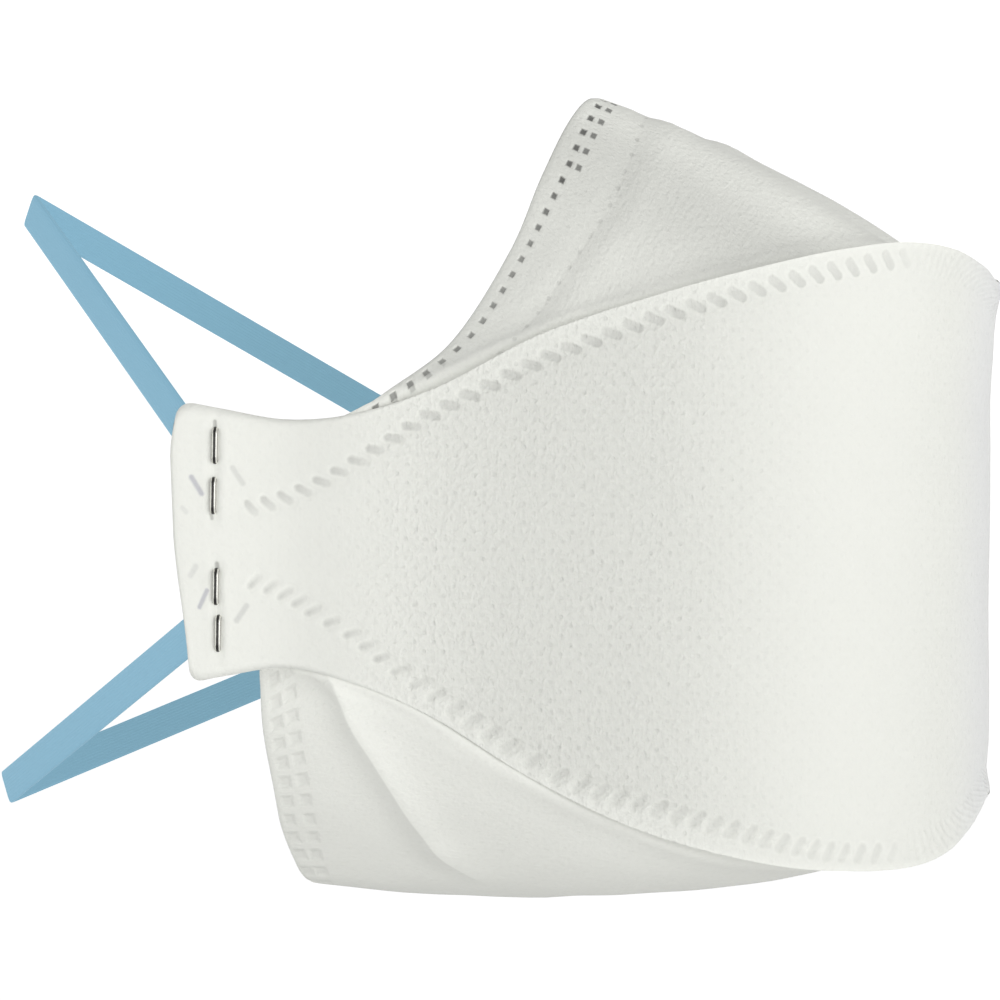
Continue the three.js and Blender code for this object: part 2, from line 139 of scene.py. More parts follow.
# %% Sizes of the middle panel, in millimetres
SEAT_DEPTH = 80.0
HALF_LENGTH = 110.0
CLOTH = 1.0
GAP = 0.3
FRONT_ARC = {"length": 52.0, "turn": math.radians(75)}
SIDE_ARC = {"length": 58.0, "turn": math.radians(5)}
TAB = {"corner": 3.0, "slant": 1.0, "starts": 97.0}
TAB_CUT = {"above": 0.7, "from_above": (10, 16), "below": 1.1, "from_below": (-2, 14)}
NEAR_END = {"slant": 8, "cut": 60}      # powers: the higher, the closer to the end it sets in
FLANGE = {"width": 3.6, "row": 0.84}
BULGE = {"height": 1.0, "fade": 30.0}
NECK = {"dent": 1.2, "at": 88.0, "reach": 13.0}
EDGES = {
    "along": [0, 7, 14, 22, 32, 43, 56, 68, 80, 90, 97, 104, 110],
    "top": [31.6, 33.9, 36.1, 37.0, 35.9, 33.3, 29.4, 25.0, 18.6, 15.4, 14.8, 15.9, 17.0],
    "bottom": [-28.8, -31.4, -34.5, -36.5, -37.0, -35.6, -32.0, -26.4, -19.4, -15.6, -14.2, -15.2, -16.4],
    "flare": [1.0, 0.85, 0.55, 0.5, 0.5, 0.5, 0.5, 0.4, 0.3, 0.2, 0, 0, 0],
}
FRONT_FLANGE = {
    "at": [-30, -24, -20, -16, -12, -8, -4, 0, 4, 8, 12, 16, 20, 24, 28],
    "top": [0, 0.1, 0.2, 0.45, 0.8, 1.2, 1.7, 1.9, 1.0, 0.0, -0.7, -0.95, -0.8, -0.4, 0],
    "bottom": [0, 0.3, 0.6, 0.9, 1.1, 1.0, 0.5, 0.0, -0.6, -1.4, -1.9, -1.8, -1.2, -0.5, 0],
}
FULL_FRONT = {"height": 1.25, "centre": -9.0, "half": 24.0, "fade": 15.0, "above": 0.55, "below": 0.15}
top_edge = line_through(EDGES, "top")
bottom_edge = line_through(EDGES, "bottom")
flare = line_through(EDGES, "flare")


def plan(s):
    """Sideways place, distance back from the front, and the outward direction at s."""
    side = np.where(s < 0, -1.0, 1.0)
    front = np.minimum(np.abs(s), FRONT_ARC["length"])
    tight = FRONT_ARC["length"] / FRONT_ARC["turn"]
    wide = SIDE_ARC["length"] / SIDE_ARC["turn"]
    turned = front / tight
    turn = turned + (np.abs(s) - front) / wide
    x = tight * np.sin(turned) + wide * (np.sin(turn) - np.sin(turned))
    back = tight * (1 - np.cos(turned)) + wide * (np.cos(turned) - np.cos(turn))
    outward = np.stack([side * np.sin(turn), -np.cos(turn), 0 * turn], -1)
    return side * x, back, outward


def panel_edges(s):
    """Heights of the middle panel's bottom and top edge, with the tab's rounded corners."""
    past = np.maximum(0, np.abs(s) - (HALF_LENGTH - TAB["corner"]))
    drop = TAB["corner"] - np.sqrt(np.maximum(0, TAB["corner"] ** 2 - past ** 2))
    return bottom_edge(s) + drop, top_edge(s) - drop


def row_at_height(s, z):
    bottom, top = panel_edges(s)
    half, middle = (top - bottom) / 2, (top + bottom) / 2
    reach = np.abs(z - middle)
    inner = np.minimum(reach / (half - FLANGE["width"]), 1) * FLANGE["row"]
    flange = np.maximum(0, (reach - half + FLANGE["width"]) / FLANGE["width"]) * (1 - FLANGE["row"])
    return np.sign(z - middle) * (inner + flange)


def standing_out(s, row, inner, flange):
    """How far the cloth stands out from the two arcs."""
    away = np.abs(s)
    bulge = BULGE["height"] * smooth_step(TAB["starts"] - away, 0, BULGE["fade"]) * (1 - inner ** 2)
    neck = NECK["dent"] * hump(away - NECK["at"], NECK["reach"])
    in_front = smooth_step(FULL_FRONT["half"] - np.abs(s - FULL_FRONT["centre"]), 0, FULL_FRONT["fade"])
    begins = np.where(row > 0, FULL_FRONT["above"], FULL_FRONT["below"])
    full = FULL_FRONT["height"] * in_front * smooth_step(inner, begins, 1)
    return bulge + flare(s) * np.minimum(flange, 1) - neck + full


def set_back(s, z):
    """How much further back the cloth lies than the arcs, which shapes the tab's end."""
    to_end = np.abs(s) / HALF_LENGTH
    slant = TAB["slant"] * z / top_edge(HALF_LENGTH)
    cut = (TAB_CUT["above"] * smooth_step(z, *TAB_CUT["from_above"])
           + TAB_CUT["below"] * smooth_step(-z, *TAB_CUT["from_below"]))
    return slant * to_end ** NEAR_END["slant"] - cut * to_end ** NEAR_END["cut"]


def middle_surface(s, row):
    bottom, top = panel_edges(s)
    half = (top - bottom) / 2
    x, back, outward = plan(s)
    inner = np.minimum(np.abs(row) / FLANGE["row"], 1)
    flange = np.maximum(0, (np.abs(row) - FLANGE["row"]) / (1 - FLANGE["row"]))
    z = (top + bottom) / 2 + np.sign(row) * (inner * (half - FLANGE["width"]) + flange * FLANGE["width"])
    place = np.stack([x, back - SEAT_DEPTH + set_back(s, z), z], -1)
    return place + outward * standing_out(s, row, inner, flange)[..., None]


def behind_middle(s, row):
    """The inner side of the middle panel, where the nose and chin panels are welded on."""
    return middle_surface(s, row) - plan(s)[2] * (CLOTH + GAP)


print("front of the mask at y =", round(float(middle_surface(np.array(0.0), np.array(0.0))[1]), 1))

# %% [markdown]
# ## 4. The nose and chin panels' shapes
# Each of these panels is welded behind one flange of the middle panel and runs back to a free
# edge on the face. Two short tables give the free edges; a crowned line joins the weld to the
# edge. Near the flange the cloth is pressed in so that it never pokes through the middle panel.

# %% Sizes of the nose and chin panels, in millimetres
NOSE_EDGE = {
    "along": [0, 12, 23, 32, 44, 58, 72, 85, 95],
    "x": [0, 10.5, 19.3, 23.2, 27.4, 32.5, 38.6, 43.9, 46.2],
    "back": [44.2, 44.2, 44.8, 46.2, 48.4, 50.9, 56.4, 63.4, 70.5],
    "z": [53.8, 53.9, 54.2, 51.3, 44.4, 35.0, 23.9, 17.6, 13.6],
    "crown": [1.6, 1.7, 1.9, 1.8, 1.6, 1.4, 0.8, 0.1, 0],
}
CHIN_EDGE = {
    "along": [0, 16, 32, 46, 58, 72, 86, 99],
    "x": [0, 12, 22, 28.5, 32.8, 37.8, 42.6, 46.4],
    "back": [76.6, 76.7, 76.6, 76.4, 77.4, 77.5, 77.4, 76.8],
    "z": [-40.6, -40.7, -40.8, -39.3, -34.4, -28, -20.6, -13.6],
    "crown": [4.9, 4.7, 4.1, 3.8, 3.2, 2.4, 1, 0],
}
CHIN_SKEW = 0.68
HOLD = {"margin": 0.6, "fade": 3.0}
TUCKED = {"share": 0.85, "less_in_front": 0.6, "front": 22.0}


def edge_lines(table):
    return {name: line_through(table, name, mirrored=name != "x") for name in ("x", "back", "z", "crown")}


NOSE, CHIN = edge_lines(NOSE_EDGE), edge_lines(CHIN_EDGE)


def welded_surface(s, row, side, edge, skew):
    """Row 0 is the weld, row 1 the free edge, and from 0 to -1 the cloth lies behind the flange."""
    tucked = TUCKED["share"] * (1 - TUCKED["less_in_front"] * hump(s, TUCKED["front"]))
    weld_row = FLANGE["row"] + (1 - FLANGE["row"]) * tucked * np.maximum(0, -row)
    weld = behind_middle(s, side * weld_row)
    free = np.stack([edge["x"](s), edge["back"](s) - SEAT_DEPTH, edge["z"](s)], -1)
    chord = free - weld
    seam_row = side * FLANGE["row"] + 0 * s
    forward = behind_middle(s + 1, seam_row) - behind_middle(s - 1, seam_row)
    up = side * unit(np.cross(forward, chord))
    reach = np.maximum(row, 0)
    skewed = reach ** skew
    arch = edge["crown"](s) * 4 * skewed * (1 - skewed)      # as high as the crown at its middle
    return weld + chord * reach[..., None] + up * arch[..., None]


def held_inside(points, s):
    """Presses points that stand proud of the middle panel's inner side back behind it."""
    nearest = np.array(s, float)
    for _ in range(6):
        x, back, outward = plan(nearest)
        dx, dy = points[..., 0] - x, points[..., 1] - (back - SEAT_DEPTH)
        nearest = np.clip(nearest - dx * outward[..., 1] + dy * outward[..., 0], -HALF_LENGTH, HALF_LENGTH)
    row = row_at_height(nearest, points[..., 2])
    past = (np.abs(row) - 1) / (1 - FLANGE["row"]) * FLANGE["width"]
    hold = 1 - smooth_step(past, HOLD["margin"], HOLD["margin"] + HOLD["fade"])
    outward = plan(nearest)[2]
    proud = ((points - behind_middle(nearest, np.clip(row, -1, 1))) * outward).sum(-1)
    return points - outward * (np.maximum(0, proud) * hold)[..., None]


def row_length(s, side, edge, skew):
    """How far it is along each column from the weld to the free edge."""
    ends = [welded_surface(s, 0 * s + end, side, edge, skew) for end in (0.0, 1.0)]
    return np.linalg.norm(ends[1] - ends[0], axis=-1)


# %% [markdown]
# ## 5. The welded seams
# An ultrasonic welder joins the panels with a row of short slanting bars, each pressed through
# all the layers. The bars follow the seam down onto the strap tabs and lean differently along
# the way, so three columns hold that: how far the seam lies inside the edge, how many bars have
# gone by, and how far a bar leans from level. From them every point near a seam gets a place
# along it, counted in bars, and a distance across it, which the cloth's finish also uses.

# %% Seam tables
TOP_SEAM = {
    "along": [0, 13, 23, 31, 42, 54, 61.7, 71, 80.3, 84.5, 88.7, 92.8, 97, 101, 110],
    "inset": [0.7, 0.9, 1.75, 2.35, 2.5, 2.7, 2.97, 3.1, 2.9, 4.1, 5.6, 7.4, 9.2, 10.95, 14.5],
    "count": [43.5, 38.3, 34, 30.7, 26.2, 21.2, 18, 14, 10, 8, 6, 4, 2, 0, -4],
    "lean": [88, 72, 60, 48, 31, 23, 19, 12, 6, 6, 8, 16, 34, 48, 52],
}
BOTTOM_SEAM = {
    "along": [0, 13, 27.9, 38, 44.4, 50.7, 57.7, 63, 70.5, 76.8, 81.2, 85.5, 89.2, 93.7, 97, 100.6, 110],
    "inset": [0.9, 1.2, 1.95, 2.75, 3.25, 3.4, 2.8, 2.1, 2.2, 2.7, 3.2, 4.3, 5.8, 7.2, 8.7, 10.4, 14],
    "count": [46, 40.3, 34, 29.1, 26, 23, 20, 17.6, 15, 12, 10, 8, 6, 4, 2, 0, -4],
    "lean": [90, 76, 60, 52, 46, 42, 40, 37, 33, 28, 24, 19, 16, 26, 34, 45, 48],
}
BAR = {"half_length": 1.28, "half_width": 0.52, "corner": 0.5}
BARS_BEGIN = {"top": (20.0, 27.0), "bottom": (20.0, 26.0)}
BARS_END = (101.9, 101.5)


def seam_place(s, z, table, side):
    """Bars gone by (skewed along the lean), distance inside the seam, lean from it, and pitch."""
    inset, count, lean = (line_through(table, name) for name in ("inset", "count", "lean"))
    step = 0.5      # half the stretch over which the seam's slope is measured
    away = np.maximum(np.abs(s), step)
    edge = top_edge if side > 0 else bottom_edge
    line = lambda at: edge(at) - side * inset(at)
    rise = side * (line(away - step) - line(away + step)) / (2 * step)
    slope = np.arctan(rise)
    pitch = np.sqrt(1 + rise ** 2) * 2 * step / (count(away - step) - count(away + step))
    down = side * (line(away) - z)
    turn = np.radians(lean(away)) + slope
    gone = count(away) - down * np.sin(slope) / pitch
    inside = down * np.cos(slope)
    return gone - inside * np.cos(turn) / pitch, inside, turn, pitch


def bar_distance(gone, inside, turn, pitch):
    """Distance to the rounded outline of the nearest bar; less than zero is on the bar."""
    ahead = pitch * (gone - np.round(gone)) + inside * np.cos(turn)
    length = np.abs(ahead * np.cos(turn) + inside * np.sin(turn)) - BAR["half_length"] + BAR["corner"]
    width = np.abs(inside * np.cos(turn) - ahead * np.sin(turn)) - BAR["half_width"] + BAR["corner"]
    return np.hypot(np.maximum(length, 0), np.maximum(width, 0)) - BAR["corner"]


def bars_present(s, is_top):
    away = np.abs(s)
    begun = [smooth_step(away, *BARS_BEGIN[edge]) for edge in ("top", "bottom")]
    return np.where(is_top, *begun) * smooth_step(away, *BARS_END)


# %% [markdown]
# ## 6. From surfaces to meshes
# A fine grid is laid out flat, and each of its corners is then carried to its place on the
# surface, as cloth is laid over a form. The grid also carries flat coordinates that the finish
# reads later: where the seam is, where the hem's dots are, how far along the cloth a point lies
# and how much painted light and shade the cloth's colour gets there.

# %% Mesh makers
WALL = {"thickness": 0.8, "levels": 20}


def carried_grid(name, points, maps):
    """A grid mesh with its corners at points (columns, rows, 3), in millimetres."""
    columns, rows = points.shape[:2]
    flat = bmesh.new()
    bmesh.ops.create_grid(flat, x_segments=columns - 1, y_segments=rows - 1, size=1.0)
    mesh = bpy.data.meshes.new(name)
    flat.to_mesh(mesh)
    flat.free()
    place = np.empty(len(mesh.vertices) * 3)
    mesh.vertices.foreach_get("co", place)
    across, upward = (place.reshape(-1, 3).T[:2] + 1) / 2
    column, row = np.rint(across * (columns - 1)).astype(int), np.rint(upward * (rows - 1)).astype(int)
    mesh.vertices.foreach_set("co", (points[column, row] * MM).ravel())
    corner = np.empty(len(mesh.loops), int)
    mesh.loops.foreach_get("vertex_index", corner)
    for label, (u, v) in maps.items():
        pair = np.stack([u[column, row], v[column, row]], -1)[corner]
        mesh.uv_layers.new(name=label).uv.foreach_set("vector", pair.ravel())
    mesh.polygons.foreach_set("use_smooth", np.ones(len(mesh.polygons), bool))
    mesh.update()
    return mesh, column, row


def shown_piece(name, mesh, slot, *stands_for):
    piece = bpy.data.objects.new(name, mesh)
    bpy.context.scene.collection.objects.link(piece)
    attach(piece, "root")
    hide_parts(*stands_for)
    return piece


def outer_side(base, relief):
    """The outer side of cloth whose middle is at base, raised by the relief."""
    outward = unit(np.cross(np.gradient(base, axis=0), np.gradient(base, axis=1)))
    return base + outward * (CLOTH / 2 + relief)[..., None]


def cloth_panel(name, slot, node, points, maps, thinness):
    """A panel whose outer side is points. thinness is the share of the wall that is left."""
    mesh, column, row = carried_grid(name, points, maps)
    panel = shown_piece(name, mesh, slot, node)
    group = panel.vertex_groups.new(name="thickness")
    left = np.round(thinness[column, row] * WALL["levels"]) / WALL["levels"]
    for level in np.unique(left):
        group.add(np.flatnonzero(left == level).tolist(), float(level), "REPLACE")
    wall = panel.modifiers.new("wall", "SOLIDIFY")
    wall.thickness = WALL["thickness"] * MM
    wall.offset = -1
    wall.vertex_group = group.name
    wall.thickness_vertex_group = 0.0
    print(name, len(mesh.vertices), "corners")
    return panel


# %% [markdown]
# ## 7. The middle panel
# Rows of the grid follow the seams, so the pressed bars stay sharp without filling the whole
# panel with detail. The bars sink in, the filter layers between them puff up, and the cloth
# between the seams swells a little unevenly. Small tufts stand up between the lower bars. On the
# tabs the staples pull dimples, and a few soft press marks remain beside them.

# %% Middle panel
STAPLES = {"along": [104.9, 105.2, 105.15, 105.05], "z": [11.6, 5.75, -4.85, -10.3]}
STAPLE = {"crown": 4.4, "wire": 0.72, "stands": 0.72, "depth": 2.3, "bend": 0.8, "leg": 0.25, "clinch": 0.1}
# The first six are soft press marks; the last three are painted shade where staple ends enter the cloth.
TAB_MARKS_AND_SHADE = {
    "along": [107.1, 102.4, 108.6, 107.9, 106.8, 102.2, 104.9, 105.5, 105.0],
    "z": [6.9, 8.1, 4.0, -3.1, -6.3, -7.9, 14.1, 3.3, -2.4],
    "lean": [60, 58, 50, -55, -62, -55, 88, 80, 84],
    "half_length": [1.1, 1.05, 0.3, 0.65, 1.1, 1.05, 0.3, 0.25, 0.2],
    "half_width": [0.24, 0.26, 0.24, 0.28, 0.22, 0.28, 0.16, 0.14, 0.2],
    "strength": [1.0, 0.5, 0.3, 0.4, 1.0, 0.6, 1.3, 1.1, 1.3],
    "lilac": [1.0, 0.1, 0.2, 0.2, 1.0, 0.2, 0, 0, 0],
}
SEAM_ROWS = {"half": 1.8, "least": 2.0}
BAR_PRESS = {"depth": 0.13, "edge": 0.3}
PUFF = {"height": 0.06, "more_below": 0.08, "off_bar": 0.75, "width": 0.55, "off_seam": 2.4}
TUFT = {"height": 0.24, "width": 0.42, "off_seam": 1.0, "length": 0.5}
DIMPLE = {"depth": 0.32, "width": 0.55, "past_end": 1.0, "under": 0.5}
PINCH = {"height": 0.12, "aside": 1.1, "width": 0.6}

along = np.linspace(-HALF_LENGTH, HALF_LENGTH, 613)


def rows_of_middle():
    """Heights of the grid's rows, from the bottom edge to the top one, for every column."""
    bottom, top = panel_edges(along)
    bottom = bottom - np.interp(along, FRONT_FLANGE["at"], FRONT_FLANGE["bottom"])
    top = top + np.interp(along, FRONT_FLANGE["at"], FRONT_FLANGE["top"])
    share = lambda low, high, count: low + (high - low) * np.linspace(0, 1, count, endpoint=False)[:, None]
    half = SEAM_ROWS["half"]
    seams = []
    for edge, line, table, side in ((bottom, bottom_edge, BOTTOM_SEAM, -1), (top, top_edge, TOP_SEAM, 1)):
        inset = line_through(table, "inset")(along) + side * (edge - line(along))
        middle = np.maximum(inset, SEAM_ROWS["least"])
        seams.append((edge - side * (middle - half), edge - side * (middle + half)))
    (low_out, low_in), (high_out, high_in) = seams
    return np.concatenate([
        share(bottom, low_out, 8), share(low_out, low_in, 12), share(low_in, high_in, 20),
        share(high_in, high_out, 12), share(high_out, top, 8), top[None]]).T


height = rows_of_middle()
along_grid = np.repeat(along[:, None], height.shape[1], 1)
middle_base = middle_surface(along_grid, row_at_height(along_grid, height))
top_place = seam_place(along_grid, height, TOP_SEAM, 1)
bottom_place = seam_place(along_grid, height, BOTTOM_SEAM, -1)
is_top = height > (top_edge(along) + bottom_edge(along))[:, None] / 2
seam = [np.where(is_top, a, b) for a, b in zip(top_place, bottom_place)]
below = np.where(is_top, 0.0, 1.0)
away_grid = np.abs(along_grid)
tab_part = smooth_step(away_grid, 84, 99)


def pressed_bars():
    distance = bar_distance(*seam)
    present = bars_present(along_grid, is_top)
    pressed = BAR_PRESS["depth"] * smooth_step(distance, BAR_PRESS["edge"], -BAR_PRESS["edge"]) * present
    ring = hump(distance - PUFF["off_bar"], PUFF["width"]) * hump(seam[1], PUFF["off_seam"])
    return (PUFF["height"] + PUFF["more_below"] * below) * ring * (0.4 + 0.6 * present) - pressed


def tufts():
    """Small tufts between the bars, on the flange side of the seam."""
    gone, inside, turn, pitch = seam
    between = (gone - np.floor(gone) - 0.5) * pitch
    round_tuft = hump(between, TUFT["width"]) * hump(inside + TUFT["off_seam"], TUFT["length"])
    return TUFT["height"] * round_tuft * smooth_step(away_grid, 24, 34) * smooth_step(away_grid, 84, 74)


def tab_relief():
    """A dimple at each end of a staple, and cloth pinched up on both sides of its crown."""
    relief = 0 * along_grid
    for at, z in zip(*STAPLES.values()):
        across, up = away_grid - at, height - z
        for end in (-1, 1):
            past = end * up - STAPLE["crown"] / 2
            round_end = np.where(past > 0, hump(past, DIMPLE["past_end"]), hump(past, DIMPLE["under"]))
            relief -= DIMPLE["depth"] * hump(across, DIMPLE["width"]) * round_end
        aside = hump(np.abs(across) - PINCH["aside"], PINCH["width"]) * hump(up, STAPLE["crown"] * 0.6)
        under = hump(across, DIMPLE["width"]) * hump(up, STAPLE["crown"] * 0.55)
        relief += PINCH["height"] * (aside - under)
    return relief


def middle_relief():
    open_part = smooth_step(TAB["starts"] - away_grid, 0, 12)
    swell = swelling(along_grid, height, (0.14, 13, 3), (0.07, 5, 4)) * smooth_step(seam[1], 1.0, 6.0)
    lumps = 0.14 * soft_noise(along_grid * 1.7, height, 1.7, 5) * hump(seam[1], 1.9)
    trough = 0.10 * hump(seam[1], 1.7)
    thin_rim = (0.08 + 0.12 * tab_part) * hump(rim, 0.35) + 0.22 * hump(rim, 2.0) * (1 - tab_part)
    return (open_part * (swell + below * lumps) + pressed_bars() + below * tufts() + tab_relief()
            - trough - thin_rim)


def distance_to_edges():
    up_and_down = np.minimum(height[:, -1:] - height, height - height[:, :1])
    return np.minimum(up_and_down, HALF_LENGTH - away_grid)


def painted_shading_of_middle():
    """Painted shading: darker on the cheek, at the neck and round the front, lighter along the rim."""
    flange = smooth_step(seam[1], 0.6, -1.2)
    cheek = smooth_step(away_grid, 28, 60) * smooth_step(away_grid, 90, 66) * (1 - 0.6 * flange)
    front, neck = smooth_step(away_grid, 34, 2), hump(away_grid - 93.5, 6)
    panel, painted_rim_light = 1 - tab_part, hump(rim, 0.6)
    return (1.03 * (1 - 0.05 * panel) * (1 - 0.13 * cheek) * (1 - 0.035 * front) * (1 - 0.08 * neck)
            * (1 + 0.05 * painted_rim_light * panel))


rim = distance_to_edges()
middle_painted_shading = painted_shading_of_middle()
middle_panel = cloth_panel(
    "central_panel_cloth", "central_cloth", "central_panel", outer_side(middle_base, middle_relief()),
    {"cloth": (along_grid, height), "seam": seam[:2], "bar": seam[2:], "painted_shading": (middle_painted_shading, middle_painted_shading)},
    0.05 + 0.95 * smooth_step(rim, 0.0, 2.5) * (1 - 0.4 * tab_part))

# %% [markdown]
# ## 8. The nose panel
# Its free edge is a hem: the cloth is turned over and dotted down with small square welds, and
# the turned part ends in a soft fold about a centimetre in. Past the fold the filter layers
# swell again. The hem's two lines are tables of distance from the free edge.

# %% Nose panel
HEM_DOTS = {
    "along": [0, 17.8, 25.5, 33.5, 43.7, 53, 61, 68, 72, 76, 82, 95],
    "first": [0.0, 0.9, 1.9, 2.5, 2.93, 2.5, 2.3, 2.25, 1.9, 1.4, 1.1, 1.0],
    "fold": [4.5, 6.4, 8.0, 9.4, 10.3, 9.3, 8.6, 7.8, 6.6, 5.4, 4.0, 2.4],
}
HEM_PITCH = 2.32
HEM_START = 0.07
HIDDEN_ROWS = 3
FINE_EDGE = {"reach": 5.4, "most": 0.45, "rows": 18}
LAP = {"height": 0.42, "puff": 0.48, "at": 4.1, "width": 1.1}
EDGE_DROP = {"depth": 0.25, "width": 0.4}


def side_grid(last, columns, body_rows, side, edge, skew):
    """Place along, row, and distance from the weld and the free edge; rows are finest at the edge."""
    column = np.linspace(-last, last, columns)
    length = row_length(column, side, edge, skew)[:, None]
    fine = 1 - np.minimum(FINE_EDGE["most"], FINE_EDGE["reach"] / length)
    hidden = -1 + np.linspace(0, 1, HIDDEN_ROWS, endpoint=False) + 0 * fine
    body = fine * np.linspace(0, 1, body_rows, endpoint=False)
    hem = fine + (1 - fine) * np.linspace(0, 1, FINE_EDGE["rows"] + 1)
    row = np.concatenate([hidden, body, hem], 1)[:, ::side]
    return np.repeat(column[:, None], row.shape[1], 1), row, row * length, (1 - row) * length


def marks_gone_by(free_edge, pitch):
    """Marks gone by along the free edge, counted both ways from the middle of the face."""
    gone = np.concatenate([[0], np.cumsum(np.linalg.norm(np.diff(free_edge, axis=0), axis=-1))])
    return np.abs(gone - gone[len(gone) // 2])[:, None] / pitch


def behind_flange(points, welded, s, row):
    """Presses the cloth past the weld in behind the middle panel."""
    return np.where((row > 0)[..., None], held_inside(points, s), welded)


def on_square(count, pitch, beside, half, soft):
    """1 on the pressed squares, one at each whole count, and 0 off them."""
    reach = np.maximum(np.abs(count - np.round(count)) * pitch, np.abs(beside))
    return smooth_step(reach, half + soft, half - soft)


def lap_and_edge(from_weld, inside):
    """The cloth is thick over the weld and puffs up just past it; its free edge is thin."""
    puff = LAP["puff"] * hump(from_weld - LAP["at"], LAP["width"])
    lap = LAP["height"] * smooth_step(from_weld, 9.0, 4.0)
    return lap + puff - EDGE_DROP["depth"] * hump(inside, EDGE_DROP["width"])


def wall_share(inside):
    return 0.35 + 0.65 * smooth_step(inside, 0.0, 2.0)


nose_s, nose_row, nose_from_weld, nose_in = side_grid(95, 561, 28, 1, NOSE, 1)
nose_welded = welded_surface(nose_s, nose_row, 1, NOSE, 1)
nose_base = behind_flange(nose_welded, nose_welded, nose_s, nose_row)
beside_dots = nose_in - line_through(HEM_DOTS, "first")(nose_s)
hem_width = line_through(HEM_DOTS, "fold")(nose_s)
past_fold = nose_in - hem_width
hem_count = marks_gone_by(nose_base[:, -1], HEM_PITCH) + HEM_START + 0 * nose_s


def nose_relief():
    fold = -0.22 * hump(past_fold, 1.5) + 0.26 * hump(past_fold - 3.2, 2.4)
    swell = swelling(nose_s, nose_in, (0.20, 11, 7), (0.07, 4, 8)) * smooth_step(nose_in, 0.5, 5)
    square = on_square(hem_count, HEM_PITCH, beside_dots, 0.45, 0.15)
    past_weld = smooth_step(nose_from_weld, 1.5, 8.0)
    return lap_and_edge(nose_from_weld, nose_in) + past_weld * (fold + swell) - 0.16 * square


nose_away = np.abs(nose_s)
# Painted shade about 37 mm out from the middle and painted light towards the front; the colour is also a
# little lighter over the hem.
nose_painted_shading = (0.975 + 0.03 * smooth_step(nose_in, hem_width, 0) - 0.11 * hump(nose_away - 37, 9)
             + 0.13 * smooth_step(nose_away, 36, 20))
nose_panel = cloth_panel(
    "nose_panel_cloth", "upper_cloth", "upper_panel", outer_side(nose_base, nose_relief()),
    {"cloth": (nose_s, nose_in), "dots": (hem_count, beside_dots), "fold": (past_fold, nose_painted_shading)},
    wall_share(nose_in))

# %% [markdown]
# ## 9. The chin panel
# Two rows of larger, softer squares hold its free edge. One long crease starts near the tab and
# runs forward: the cloth has folded there since it left the packet. In front of the crease the
# panel stands proud, and just behind it drops away.

# %% Chin panel
CHIN_DOTS = {
    "along": [0, 16, 40, 50, 59, 66, 74, 90, 99],
    "first": [0.6, 0.7, 1.0, 1.3, 1.4, 1.7, 2.0, 2.2, 2.6],
    "second": [2.4, 2.4, 2.7, 3.3, 4.3, 4.4, 4.4, 4.4, 4.8],
}
CHIN_PITCH = 2.7
CREASE = {
    "along": [16, 30, 40, 46.7, 51.3, 57.6, 64.8, 72, 78.7, 83, 88, 94, 99],
    "row": [0.60, 0.57, 0.56, 0.568, 0.583, 0.568, 0.544, 0.517, 0.49, 0.43, 0.32, 0.2, 0.12],
}
CREASE_FORM = {"rise": 1.1, "slow": 9.0, "quick": 0.9}

chin_s, chin_row, chin_from_weld, chin_in = side_grid(99, 583, 32, -1, CHIN, CHIN_SKEW)
chin_welded = welded_surface(chin_s, chin_row, -1, CHIN, CHIN_SKEW)
beside_first = chin_in - line_through(CHIN_DOTS, "first")(chin_s)
beside_second = chin_in - line_through(CHIN_DOTS, "second")(chin_s)
chin_count = marks_gone_by(chin_welded[:, 0], CHIN_PITCH) + 0 * chin_s


def crease_rise():
    """How far the crease lifts the cloth in front of it: a quick rise and a slow fall."""
    in_front = (line_through(CREASE, "row")(chin_s) - chin_row) * (chin_from_weld + chin_in)
    away = np.abs(chin_s)
    shown = smooth_step(away, 41, 54) * smooth_step(away, 96, 86)
    profile = np.where(in_front > 0, np.exp(-in_front / CREASE_FORM["slow"]),
                       np.exp(in_front / CREASE_FORM["quick"]))
    return CREASE_FORM["rise"] * profile * smooth_step(chin_row, 0, 0.2) * shown, in_front, shown


crease_lift, before_crease, crease_shown = crease_rise()
chin_lifted = chin_welded + plan(chin_s)[2] * crease_lift[..., None]
chin_base = behind_flange(chin_lifted, chin_welded, chin_s, chin_row)


def chin_relief():
    swell = swelling(chin_s, chin_in, (0.22, 12, 11), (0.08, 4.5, 12)) * smooth_step(chin_from_weld, 2, 9)
    nearest = np.minimum(np.abs(beside_first), np.abs(beside_second))
    spot = on_square(chin_count, CHIN_PITCH, nearest, 0.7, 0.3)
    return lap_and_edge(chin_from_weld, chin_in) + swell - 0.14 * spot


# Painted shading: a little darker round the front and in front of the crease, and lighter about 4 mm from the
# weld, against the shade at the flange's edge.
chin_painted_shading = (1.02 - 0.05 * smooth_step(np.abs(chin_s), 75, 50)
             + 0.07 * hump(chin_from_weld - LAP["at"], LAP["width"])
             - 0.06 * smooth_step(before_crease, -0.5, 6.0) * crease_shown)
chin_panel = cloth_panel(
    "chin_panel_cloth", "lower_cloth", "lower_panel", outer_side(chin_base, chin_relief()),
    {"cloth": (chin_s, chin_in), "dots": (chin_count, beside_first), "more": (beside_second, chin_painted_shading),
     "crease": (before_crease, crease_shown)},
    wall_share(chin_in))

# %% [markdown]
# ## 10. The two elastic straps
# Each strap is one flat band, stapled inside both tabs and drawn back to a single sharp fold
# behind the head, where the hook that displays the mask would pull it. It is a tube with the
# outline of a flat, round-edged ribbon, closed at both ends.

